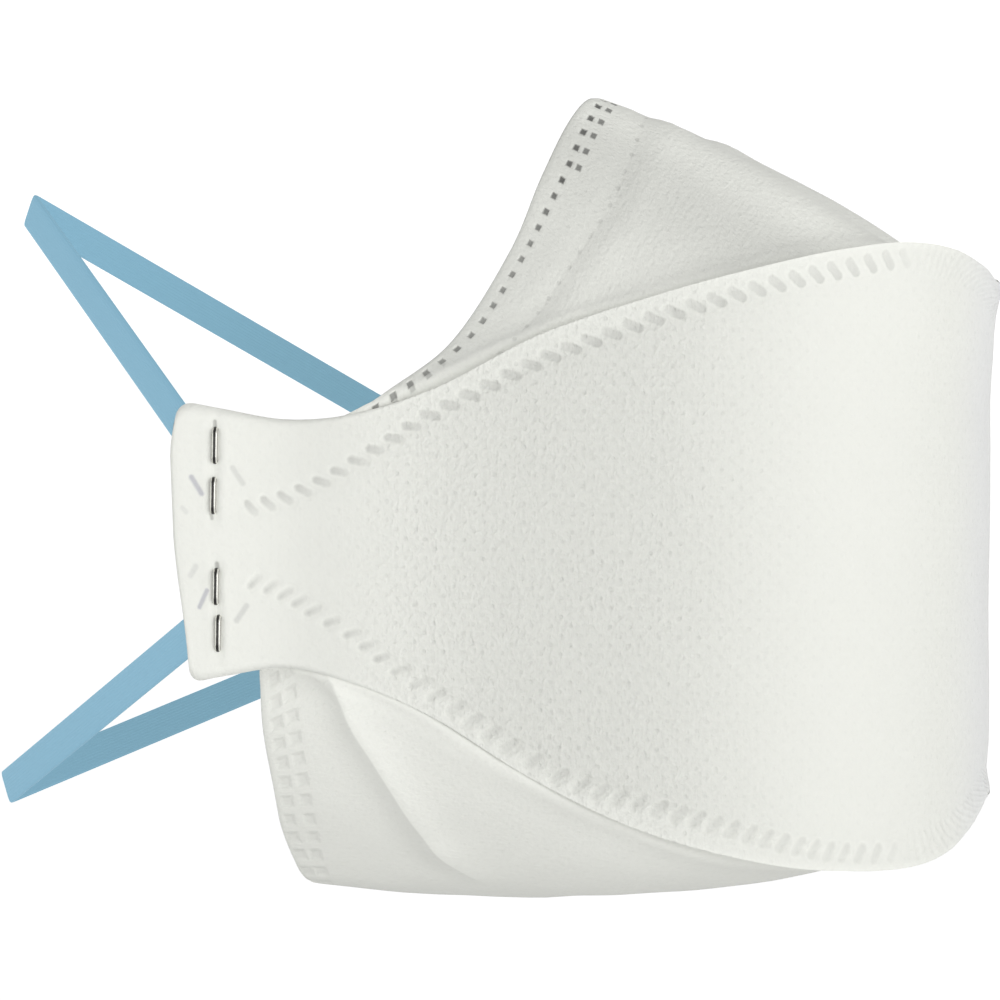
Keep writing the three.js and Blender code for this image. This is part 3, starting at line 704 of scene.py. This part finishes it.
# %% Straps
STRAP = {"width": 4.2, "thickness": 0.8, "room": 0.9, "end": 99.5, "held_at": 105.5, "bend_from": 105.6,
         "bend_to": 109.5, "tip_radius": 0.9}
STEPS = {"held": 6, "bend": 13, "leg": 40, "fold": 17, "staple_bend": 7}
UPPER_STRAP = {"left": 9.6, "right": 12.8, "back": 123.0, "z": 42.1, "lean": -18}
LOWER_STRAP = {"left": -9.0, "right": -9.0, "back": 124.8, "z": -32.3, "lean": 18}


def curve_points(a, b, c, count):
    """Points along the smooth bend from a to c that aims at b."""
    t = np.linspace(0, 1, count)[:, None]
    return a * (1 - t) ** 2 + 2 * b * t * (1 - t) + c * t ** 2


def strap_leg(strap, hold_z):
    """From the end under the right-hand tab to just before the fold: points and widths."""
    at_staple = np.array(STRAP["held_at"])
    _, hold_back, hold_out = plan(at_staple)
    tip = np.array([0, strap["back"] - SEAT_DEPTH, strap["z"]])
    climb = (strap["z"] - hold_z) / (strap["back"] - hold_back)

    def behind_tab(s):
        s = np.array(s, float)
        point = middle_surface(s, 0 * s) - plan(s)[2] * (CLOTH / 2 + GAP + STRAP["room"] / 2)
        point[..., 2] = hold_z + (point[..., 1] + SEAT_DEPTH - hold_back) * climb
        return point

    lean = math.radians(strap["lean"])
    free = np.array([0, math.sin(lean), math.cos(lean)])
    flat = unit(free - hold_out * (free @ hold_out))
    held = behind_tab(np.linspace(STRAP["end"], STRAP["bend_from"], STEPS["held"]))
    corner = behind_tab((STRAP["bend_from"] + STRAP["bend_to"]) / 2)
    leg = unit(tip - corner)
    bend = curve_points(held[-1], corner, corner + leg * np.linalg.norm(corner - held[-1]), STEPS["bend"])
    start = tip - leg * STRAP["tip_radius"]
    t = np.linspace(0, 1, STEPS["leg"])[1:, None]
    points = np.concatenate([held, bend[1:], bend[-1] + (start - bend[-1]) * t])
    turned = np.concatenate([np.zeros((len(held) + len(bend) - 1, 1)), t])
    return points, flat * (1 - turned) + free * turned


def strap_line(strap):
    mirror = np.array([-1, 1, 1])
    right, right_across = strap_leg(strap, strap["right"])
    left, left_across = strap_leg(strap, strap["left"])
    tip = np.array([0, strap["back"] - SEAT_DEPTH, strap["z"]])
    fold = curve_points(right[-1], tip, left[-1] * mirror, STEPS["fold"])[1:-1]
    points = np.concatenate([right, fold, (left * mirror)[::-1]])
    turning = np.repeat(right_across[-1:], len(fold), 0)
    across = np.concatenate([right_across, turning, (left_across * mirror)[::-1]])
    return points, unit(across)


def closed_tube(name, points, across, outline, slot, node):
    """A closed outline of (sideways, outward) pairs carried along points, with both ends filled."""
    ahead = unit(np.gradient(points, axis=0))
    out = unit(np.cross(ahead, across))
    ring = (points[:, None] + across[:, None] * outline[None, :, :1] + out[:, None] * outline[None, :, 1:])
    gone = np.concatenate([[0], np.cumsum(np.linalg.norm(np.diff(points, axis=0), axis=-1))])
    lengthwise, crosswise = gone[:, None] + 0 * outline[:, 0], 0 * gone[:, None] + outline[:, 0]
    mesh, _, _ = carried_grid(name, ring, {"band": (lengthwise, crosswise)})
    shell = bmesh.new()
    shell.from_mesh(mesh)
    bmesh.ops.remove_doubles(shell, verts=shell.verts, dist=1e-7)
    bmesh.ops.holes_fill(shell, edges=[edge for edge in shell.edges if edge.is_boundary])
    bmesh.ops.recalc_face_normals(shell, faces=shell.faces)
    shell.to_mesh(mesh)
    shell.free()
    print(name, round(gone[-1], 1), "mm long,", len(mesh.vertices), "corners")
    return shown_piece(name, mesh, slot, node)


def ribbon_outline(width, thickness, count):
    """A flat ribbon with rounded edges, as a squared-off ellipse."""
    turn = np.linspace(0, 2 * math.pi, count + 1)
    squared = lambda x, power: np.sign(x) * np.abs(x) ** power
    return np.stack([width / 2 * squared(np.cos(turn), 0.35), thickness / 2 * squared(np.sin(turn), 0.5)], -1)


ribbon = ribbon_outline(STRAP["width"], STRAP["thickness"], 36)
straps = [
    closed_tube(f"{name}_elastic", *strap_line(sizes), ribbon, "elastic", name)
    for name, sizes in (("upper_strap", UPPER_STRAP), ("lower_strap", LOWER_STRAP))]

# %% [markdown]
# ## 11. The staples
# Eight staples, four to a tab, go through the cloth and the strap behind it and are bent over
# on the inside. Each is one round wire that turns a corner four times, with its crown drawn
# down onto the cloth.

# %% Staples
def staple_path(middle, outward):
    up = np.array([0, 0, 1.0])
    half = (STAPLE["crown"] - STAPLE["wire"]) / 2
    crown, inside, clinch = STAPLE["stands"], -STAPLE["depth"], -STAPLE["depth"] - STAPLE["clinch"]
    places = [(clinch, -half * STAPLE["leg"]), (inside, -half), (crown, -half),
              (crown, half), (inside, half), (clinch, half * STAPLE["leg"])]
    corners = [middle + outward * out + up * z for out, z in places]
    bend = STAPLE["wire"] * STAPLE["bend"]
    path = [corners[0][None]]
    for before, here, after in zip(corners, corners[1:], corners[2:]):
        start, end = here + unit(before - here) * bend, here + unit(after - here) * bend
        path.append(curve_points(start, here, end, STEPS["staple_bend"]))
    path.append(corners[-1][None])
    return np.concatenate(path)


wire_turn = np.linspace(0, 2 * math.pi, 17)
wire_outline = np.stack([np.cos(wire_turn), np.sin(wire_turn)], -1) * STAPLE["wire"] / 2
staples = []
for side, sign in (("left", -1), ("right", 1)):
    for number, (at, z) in enumerate(zip(*STAPLES.values()), 1):
        at_s = np.array(sign * at)
        outward = plan(at_s)[2]
        middle = middle_surface(at_s, row_at_height(at_s, np.array(z)))
        middle[2] = z
        path = staple_path(middle, outward)
        sideways = np.repeat(np.cross(outward, [0, 0, 1.0])[None], len(path), 0)
        staples.append(closed_tube(f"staple_wire_{side}_{number}", path, sideways, wire_outline,
                                   "staple_wire", f"staple_{side}_{number}"))

# %% [markdown]
# ## 12. A small language for finishes
# A finish is worked out number by number at each point of the surface. `Number` lets the sums
# be written as ordinary arithmetic, and `Finish` holds the one surface that they feed.

# %% Finish helpers
class Number:
    """A number that changes over the surface."""

    def __init__(self, finish, socket):
        self.finish, self.socket = finish, socket

    def work(self, operation, *others):
        return self.finish.node("ShaderNodeMath", {"operation": operation}, dict(enumerate((self, *others))))

    def __rsub__(self, other):
        return (self * -1) + other

    def hypot(self, other):
        """The long side of a square corner whose two short sides are these."""
        return (self * self + other * other).root()

    def off_whole(self):
        """How far it is from the nearest whole number."""
        return self - self.work("ROUND")

    def between(self, low, high):
        """0 below low, 1 above high and smooth between; swap them to turn it round."""
        start, end, flip = (low, high, False) if low < high else (high, low, True)
        values = {"Value": self, "From Min": start, "From Max": end,
                  "To Min": 1.0 if flip else 0.0, "To Max": 0.0 if flip else 1.0}
        return self.finish.node("ShaderNodeMapRange", {"interpolation_type": "SMOOTHSTEP"}, values)


# Each of these words or signs in a sum becomes one node.
OPERATIONS = {
    "__add__": "ADD", "__radd__": "ADD", "__sub__": "SUBTRACT", "__mul__": "MULTIPLY", "__rmul__": "MULTIPLY",
    "__truediv__": "DIVIDE", "__abs__": "ABSOLUTE", "at_least": "MAXIMUM", "at_most": "MINIMUM",
    "root": "SQRT", "wave": "SINE", "side_wave": "COSINE"}
for word, operation in OPERATIONS.items():
    setattr(Number, word, lambda self, *others, operation=operation: self.work(operation, *others))


class Finish:
    """One material: its surface and the nodes that feed it."""

    def __init__(self, name, **constants):
        self.material = bpy.data.materials.new(name)
        self.material.use_nodes = True
        self.tree = self.material.node_tree
        self.surface = self.tree.nodes["Principled BSDF"]
        for socket, value in constants.items():
            self.surface.inputs[socket.replace("_", " ")].default_value = value

    def node(self, kind, settings, values, output=0):
        made = self.tree.nodes.new(kind)
        for name, value in settings.items():
            setattr(made, name, value)
        for socket, value in values.items():
            self.feed(made.inputs[socket], value)
        return Number(self, made.outputs[output])

    def feed(self, socket, value):
        if isinstance(value, Number):
            self.tree.links.new(value.socket, socket)
        else:
            socket.default_value = value

    def flat_map(self, name):
        """The two coordinates that the mesh carries under this name, in its own units."""
        vector = self.node("ShaderNodeUVMap", {"uv_map": name}, {})
        return [self.node("ShaderNodeSeparateXYZ", {}, {0: vector}, output=axis) for axis in (0, 1)]

    def point(self, x, y, z=0.0):
        return self.node("ShaderNodeCombineXYZ", {}, {0: x, 1: y, 2: z})

    def grain(self, x, y, layer=0.0, scale=1.0, detail=2.0):
        """Cloudy noise from -1 to 1."""
        values = {"Vector": self.point(x, y, layer), "Scale": scale, "Detail": detail, "Roughness": 0.6}
        return self.node("ShaderNodeTexNoise", {}, values) * 2.0 - 1.0

    def paint(self, colour, strength):
        shade = self.node("ShaderNodeVectorMath", {"operation": "SCALE"}, {0: colour, "Scale": strength})
        self.feed(self.surface.inputs["Base Color"], shade)

    def roughen(self, roughness):
        self.feed(self.surface.inputs["Roughness"], roughness)

    def raise_by(self, millimetres):
        """Finer height than the mesh holds, as a change of the surface's slope."""
        bump = self.node("ShaderNodeBump", {}, {"Height": millimetres * MM, "Distance": 1.0, "Strength": 1.0})
        self.feed(self.surface.inputs["Normal"], bump)


# %% [markdown]
# ## 13. Spunbonded cloth
# The white cloth is a mat of fine plastic fibres held by a staggered lattice of tiny heat
# bonds. Most fibres lie along the roll, so the grain runs one way. It hardly shines: only the
# welded bars and dots, where the plastic has melted, are a little smoother.

# %% White cloth
WHITE = (0.86, 0.868, 0.815)
LILAC = (0.83, 0.835, 0.865)
BOND = {"along": 2.27, "across": 2.17, "radius": 0.2}
ROUGH, WELDED_LESS, SHEEN = 0.9, 0.3, 0.05
# How much lighter or darker each thing makes the cloth, and how far it stands up or sinks in.
# Some of the shades are painted light: the light rims round the bars, the tufts, ribs and wrinkles, and
# both sides of the chin's crease; the bars and the tab marks are partly painted shade.
SHADE = {"bond": 0.038, "fibre": 0.014, "pit": 0.026, "cloud": 0.010, "bar": 0.15, "rim": 0.02, "tuft": 0.075,
         "rib": 0.02, "mark_and_shade": 0.3, "dot": 0.13, "wrinkle": 0.012, "spot": 0.05, "behind": 0.09, "painted_crease_highlight": 0.08}
RISE = {"bond": 0.035, "fibre": 0.034, "pit": 0.052, "bar": 0.04, "tuft": 0.07, "rib": 0.035, "mark_and_shade": 0.06,
        "square": 0.12, "dot": 0.05, "fold": 0.02, "wrinkle": 0.07, "spot": 0.12}


def bonded_cloth(finish, rough=1.0):
    """Shade and height of the plain cloth, before any weld."""
    s, across = finish.flat_map("cloth")
    p = s / BOND["along"] + across / BOND["across"]
    q = s / BOND["along"] - across / BOND["across"]
    f, g = p.off_whole(), q.off_whole()
    x, y = (f + g) * (BOND["along"] / 2), (f - g) * (BOND["across"] / 2)
    lying = finish.grain(s * 2.2, across * 0.7, detail=3.0)
    crossing = finish.grain(s + across * 0.6, across * 1.6 - s, 4.0, detail=3.0)
    pits = finish.grain(s, across * 0.8, 7.0, 1.9, 1.0)
    clouds = finish.grain(s, across, 9.0, 0.28)
    fibres = lying + crossing
    uneven = (crossing * 0.8 + 0.7).at_least(0.0) * rough
    bond = x.hypot(y).between(BOND["radius"] + 0.12, BOND["radius"] - 0.08) * uneven
    mottled = (fibres * SHADE["fibre"] + pits * SHADE["pit"]) * rough + clouds * SHADE["cloud"]
    height = (fibres * RISE["fibre"] + pits * RISE["pit"]) * rough - bond * RISE["bond"]
    return 1.0 - bond * SHADE["bond"] + mottled, height


class MiddleFinish(Finish):
    """The middle panel's finish, with the places that its marks are worked out from."""

    def __init__(self):
        super().__init__("middle_cloth", Roughness=ROUGH, Sheen_Weight=SHEEN)
        self.s, self.z = self.flat_map("cloth")
        self.away = abs(self.s)
        self.low = self.z.between(5.0, -5.0)
        self.soft = self.away.between(74.0, 90.0)
        self.gone, self.inside = self.flat_map("seam")
        turn, self.pitch = self.flat_map("bar")
        self.level, self.steep = turn.side_wave(), turn.wave()

    def near_bar(self, shift):
        """How far down and across the nearest bar this is; a shift of a half gives the gaps."""
        ahead = (self.gone - shift).off_whole() * self.pitch + self.inside * self.level
        return ahead * self.level + self.inside * self.steep, self.inside * self.level - ahead * self.steep

    def bars(self):
        """The pressed bars, a painted highlight round each, and the painted shade at one end of each."""
        down, across = self.near_bar(0.0)
        length = abs(down) - (BAR["half_length"] - BAR["corner"]) + self.soft * 0.2
        width = abs(across) - (BAR["half_width"] - BAR["corner"]) + (self.low + self.soft) * 0.1
        distance = length.at_least(0.0).hypot(width.at_least(0.0)) - BAR["corner"]
        top, bottom = (self.away.between(*BARS_BEGIN[edge]) for edge in ("top", "bottom"))
        present = (top * (1.0 - self.low) + bottom * self.low) * self.away.between(*BARS_END)
        blur = self.soft * 0.06 + self.low * 0.1 + 0.12
        ragged = self.grain(self.s * 1.5, self.z * 1.5, 12.0) * 0.12
        crisp = (0.5 - (distance + ragged) / (blur * 2.0)).at_least(0.0).at_most(1.0)
        bar = crisp * present * (1.0 - self.low * (1.0 - self.soft) * 0.4)
        rim = distance.between(0.0, 0.18) * distance.between(0.55, 0.3) * present
        return bar, rim, down * (0.25 - self.soft * 0.85) + 1.0 + self.soft * 0.2

    def tufts(self):
        down, across = self.near_bar(0.5)
        size = (across * across * 10.0 + down * down * 1.1).root()
        fluff = self.grain(self.s * 1.4, self.z * 1.4, 15.0).between(-0.4, 0.4)
        shown = self.low * self.away.between(20.0, 32.0) * self.away.between(88.0, 78.0)
        return size.between(1.3, 0.3) * fluff * shown

    def ribs(self):
        """A fan of fine ribs where the flange runs round the front."""
        fan = self.s.between(-24.0, 2.0) * self.s.between(26.0, 14.0) * 2.6
        ripple = ((self.s + self.inside * fan) * 5.2).wave()
        return ripple * self.away.between(25.0, 17.0) * abs(self.inside).between(2.8, 1.2)

    def tab_marks_and_shade(self):
        """How strongly press marks and painted shade at the staple ends show, and how lilac they are."""
        shade, lilac = 0.0, 0.0
        for at, z, lean, half_length, half_width, strength, colour in zip(*TAB_MARKS_AND_SHADE.values()):
            turn = math.radians(lean)
            ahead, up = at - self.away, self.z - z
            down = abs(ahead * math.cos(turn) - up * math.sin(turn)) - half_length
            across = ahead * math.sin(turn) + up * math.cos(turn)
            mark_and_shade = down.at_least(0.0).hypot(across).between(half_width * 1.9, half_width * 0.4) * strength
            shade, lilac = mark_and_shade + shade, mark_and_shade * colour + lilac
        return shade, lilac


def middle_finish():
    finish = MiddleFinish()
    away = finish.away
    cheek = away.between(30.0, 56.0) * away.between(94.0, 80.0)
    shade, height = bonded_cloth(finish, cheek * 1.5 + away.between(26.0, 14.0) * 0.5 + 0.5)
    painted_shading, _ = finish.flat_map("painted_shading")
    bar, rim, painted_end_shade = finish.bars()
    tuft, ribs = finish.tufts(), finish.ribs()
    mark_and_shade, lilac = finish.tab_marks_and_shade()
    # The tab marks' lilac is their own colour; the lilac towards the front is painted cool light.
    lilac_and_painted_cool_light = (lilac + away.between(16.0, 2.0) * 0.5).at_most(1.0)
    mixed = {"Factor": lilac_and_painted_cool_light, 6: (*WHITE, 1), 7: (*LILAC, 1)}
    tint = finish.node("ShaderNodeMix", {"data_type": "RGBA"}, mixed, output=2)
    # Painted light: a highlight round each bar and on the tufts, and ribs painted lighter on their crests.
    painted_light = rim * SHADE["rim"] + tuft * SHADE["tuft"] + ribs * SHADE["rib"]
    # The bars are greyer where welded, and painted shade darkens each towards one end.
    finish.paint(tint, shade * painted_shading * (1.0 - bar * painted_end_shade * SHADE["bar"] - mark_and_shade * SHADE["mark_and_shade"] + painted_light))
    raised = tuft * RISE["tuft"] + ribs * RISE["rib"]
    finish.raise_by(height - bar * RISE["bar"] - mark_and_shade * RISE["mark_and_shade"] + raised)
    finish.roughen(ROUGH - bar * WELDED_LESS)
    return finish.material


def nose_finish():
    finish = Finish("nose_cloth", Roughness=ROUGH, Sheen_Weight=SHEEN)
    shade, height = bonded_cloth(finish)
    s, inside = finish.flat_map("cloth")
    count, beside = finish.flat_map("dots")
    past_fold, painted_shading = finish.flat_map("fold")
    away, along_edge = abs(s), abs(count.off_whole() * HEM_PITCH)
    smudge = finish.grain(count * 3.1, inside * 2.0, 2.0) * 0.12

    def squares(row_inside, outer, inner):
        return (along_edge.at_least(abs(beside - row_inside)) + smudge).between(outer, inner)

    second = squares(1.45, 0.50, 0.24) * away.between(43.0, 41.0) * 0.85
    at_neck = squares(0.7, 0.46, 0.2) * away.between(74.0, 76.0) * 0.5
    marks = (squares(0.0, 0.50, 0.24) + second + at_neck).at_most(1.0) * away.between(14.0, 22.0)
    worn = finish.grain(count * 0.9, 0.0, 5.0) * 0.15
    dark = away.between(56.0, 44.0) * 0.2 + 0.6 + worn
    dots = along_edge.hypot(past_fold).between(0.38, 0.16)
    fold = abs(past_fold).between(0.45, 0.05)
    wrinkles = finish.grain(s * 0.25, inside * 1.5, detail=3.0) * inside.between(7.0, 12.0)
    # Painted shading: the wrinkles are lighter on their crests and darker in their hollows.
    darker = marks * dark + dots * SHADE["dot"] - wrinkles * SHADE["wrinkle"]
    finish.paint(WHITE, shade * painted_shading * (1.0 - darker))
    finish.raise_by(height - marks * RISE["square"] - dots * RISE["dot"] - fold * RISE["fold"]
                    + wrinkles * RISE["wrinkle"])
    finish.roughen(ROUGH - marks * WELDED_LESS)
    return finish.material


def chin_finish():
    finish = Finish("chin_cloth", Roughness=ROUGH, Sheen_Weight=SHEEN)
    shade, height = bonded_cloth(finish, 0.65)
    count, first = finish.flat_map("dots")
    second, painted_shading = finish.flat_map("more")
    before, shown = finish.flat_map("crease")
    nearest = abs(count.off_whole() * CHIN_PITCH).at_least(abs(first).at_most(abs(second)))
    smudge = finish.grain(count * 3.0, first, 3.0) * 0.15
    spot = (nearest + smudge).between(1.05, 0.4)
    # Painted shadow just behind the crease, and a painted highlight just in front of it.
    behind = before.between(0.2, -0.15) * before.between(-6.0, 0.0) * shown
    painted_crease_highlight = before.between(-0.1, 0.2) * before.between(9.0, 0.3) * shown
    painted_crease_light = painted_crease_highlight * SHADE["painted_crease_highlight"] - behind * SHADE["behind"]
    finish.paint(WHITE, shade * painted_shading * (1.0 - spot * SHADE["spot"] + painted_crease_light))
    finish.raise_by(height - spot * RISE["spot"])
    return finish.material


for panel, finish in ((middle_panel, middle_finish), (nose_panel, nose_finish), (chin_panel, chin_finish)):
    panel.data.materials.append(finish())

# %% [markdown]
# ## 14. Elastic and steel
# The strap is a stretch film with fine ribs along its length, matt and sky blue. It is thin, so a
# little light comes through it; a glow of its own paints that light in and keeps the legs that lie
# in the mask's shade light. The staple wire is drawn steel, bright and a little uneven, with a
# painted reflection of the unlit side of the room: a dark stripe along its middle and dark sides.

# %% Elastic and steel
SKY_BLUE = (0.125, 0.265, 0.37)
PAINTED_GLOW = (0.13, 0.24, 0.30, 1)


def elastic_finish():
    # Painted light: the band glows with a light of its own as well as taking the lamps' light.
    finish = Finish("sky_blue_elastic", Roughness=0.62, Emission_Color=PAINTED_GLOW, Emission_Strength=1.0)
    length, across = finish.flat_map("band")
    ribs = (across * 17.0).wave()
    streaks = finish.grain(length * 0.12, across * 5.0, detail=3.0)
    finish.paint(SKY_BLUE, 1.0 + ribs * 0.012 + streaks * 0.035)
    finish.raise_by(ribs * 0.010 + streaks * 0.012)
    return finish.material


def steel_finish():
    finish = Finish("staple_steel", Metallic=0.6, Roughness=0.25)
    length, sideways = finish.flat_map("band")
    drawn = finish.grain(length * 1.5, 0.0)
    # Painted reflection of the unlit room: a dark stripe along the wire's middle and darker sides.
    painted_room_reflection = abs(sideways + drawn * 0.03).between(0.21, 0.13)
    painted_dark_sides = abs(sideways).between(0.27, 0.35) * 0.7
    finish.paint((0.85, 0.84, 0.78), 1.0 + drawn * 0.08 - painted_room_reflection.at_least(painted_dark_sides) * 0.95)
    finish.roughen(0.2 + drawn * 0.05)
    return finish.material


for pieces, finish in ((straps, elastic_finish()), (staples, steel_finish())):
    for piece in pieces:
        piece.data.materials.append(finish)

# %% [markdown]

# %% [markdown]
# ## 16. The studio
# The mask hangs as a head would hold it, over a pale bowl of a floor that glows a little, so
# the ground and the background both come out white. A broad soft lamp stands in front of the
# mask, to its left, and a weaker one a little behind its left side. The rest is the room's light.

# %% Studio
FLOOR_OUTLINE = [(0.0, -0.12), (0.5, -0.12), (1.2, -0.12), (2.2, -0.10), (2.9, 0.10), (3.2, 0.6)]
LAMPS = {"name": ["key", "fill"], "azimuth": [-39, -125], "elevation": [8, 4], "power": [7.6, 2.2]}
LAMP = {"distance": 1.3, "size": 1.1}
ROOM_LIGHT = (0.40, 0.40, 0.40, 1)


def studio_floor():
    bowl = bmesh.new()
    corners = [bowl.verts.new((x, 0, z)) for x, z in FLOOR_OUTLINE]
    edges = [bowl.edges.new(pair) for pair in zip(corners, corners[1:])]
    bmesh.ops.spin(bowl, geom=corners + edges, cent=(0, 0, 0), axis=(0, 0, 1), angle=2 * math.pi,
                   steps=64, use_merge=True)
    bmesh.ops.remove_doubles(bowl, verts=bowl.verts, dist=1e-6)
    mesh = bpy.data.meshes.new("studio_floor")
    bowl.to_mesh(mesh)
    bowl.free()
    floor = bpy.data.objects.new("studio_floor", mesh)
    bpy.context.scene.collection.objects.link(floor)
    finish = Finish("pale_floor", Base_Color=(0.8, 0.8, 0.8, 1), Roughness=1.0, Emission_Strength=0.66)
    place = finish.node("ShaderNodeTexCoord", {}, {}, output="Object")
    away = finish.node("ShaderNodeVectorMath", {"operation": "LENGTH"}, {0: place}, output="Value")
    glow = away.between(0.40, 0.64) * 0.7 + 0.3
    finish.feed(finish.surface.inputs["Emission Color"], finish.point(glow, glow, glow))
    mesh.materials.append(finish.material)
    floor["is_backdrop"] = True


def soft_lamp(name, azimuth, elevation, power):
    lamp = bpy.data.lights.new(name, "AREA")
    lamp.size, lamp.energy = LAMP["size"], power
    holder = bpy.data.objects.new(name, lamp)
    a, e = math.radians(azimuth), math.radians(elevation)
    back = Vector((math.sin(a) * math.cos(e), -math.cos(a) * math.cos(e), math.sin(e)))
    holder.location = back * LAMP["distance"]
    holder.rotation_euler = back.to_track_quat("Z", "Y").to_euler()
    bpy.context.scene.collection.objects.link(holder)


studio_floor()
for row in zip(*LAMPS.values()):
    soft_lamp(*row)
room = bpy.data.worlds.new("room")
room.use_nodes = True
room.node_tree.nodes["Background"].inputs["Color"].default_value = ROOM_LIGHT
bpy.context.scene.world = room
bpy.context.scene.view_settings.view_transform = "Standard"

# %% [markdown]
# ## 17. The camera
# It looks level at the mask's left side from a little in front, through a long lens.

# %% Camera
CAMERA = {"azimuth": -75.6, "roll": 1.0, "distance": 0.6, "target": (-15, -24, 0), "right": -0.09,
          "up": 5.81, "lens": 176.8}


def aim_camera():
    a, roll = math.radians(CAMERA["azimuth"]), math.radians(CAMERA["roll"])
    right = Vector((math.cos(a), math.sin(a), 0))
    back = Vector((math.sin(a), -math.cos(a), 0))
    up = back.cross(right)
    target = (Vector(CAMERA["target"]) + right * CAMERA["right"] + up * CAMERA["up"]) * MM
    rolled_right = right * math.cos(roll) + up * math.sin(roll)
    rolled_up = up * math.cos(roll) - right * math.sin(roll)
    lens = bpy.data.cameras.new("camera")
    lens.lens, lens.sensor_width = CAMERA["lens"], 36
    camera = bpy.data.objects.new("camera", lens)
    turned = Matrix((rolled_right, rolled_up, back)).transposed().to_4x4()
    camera.matrix_world = Matrix.Translation(target + back * CAMERA["distance"]) @ turned
    bpy.context.scene.collection.objects.link(camera)
    bpy.context.scene.camera = camera


aim_camera()

# %% [markdown]
# ## 18. The size at the end
# The finer pieces must fill the same box as the solids they stand for; the box they fill is printed.

# %% Finish
shown_box = [list(corner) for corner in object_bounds()]
print("shown box in mm:", [[round(x / MM, 1) for x in corner] for corner in shown_box])
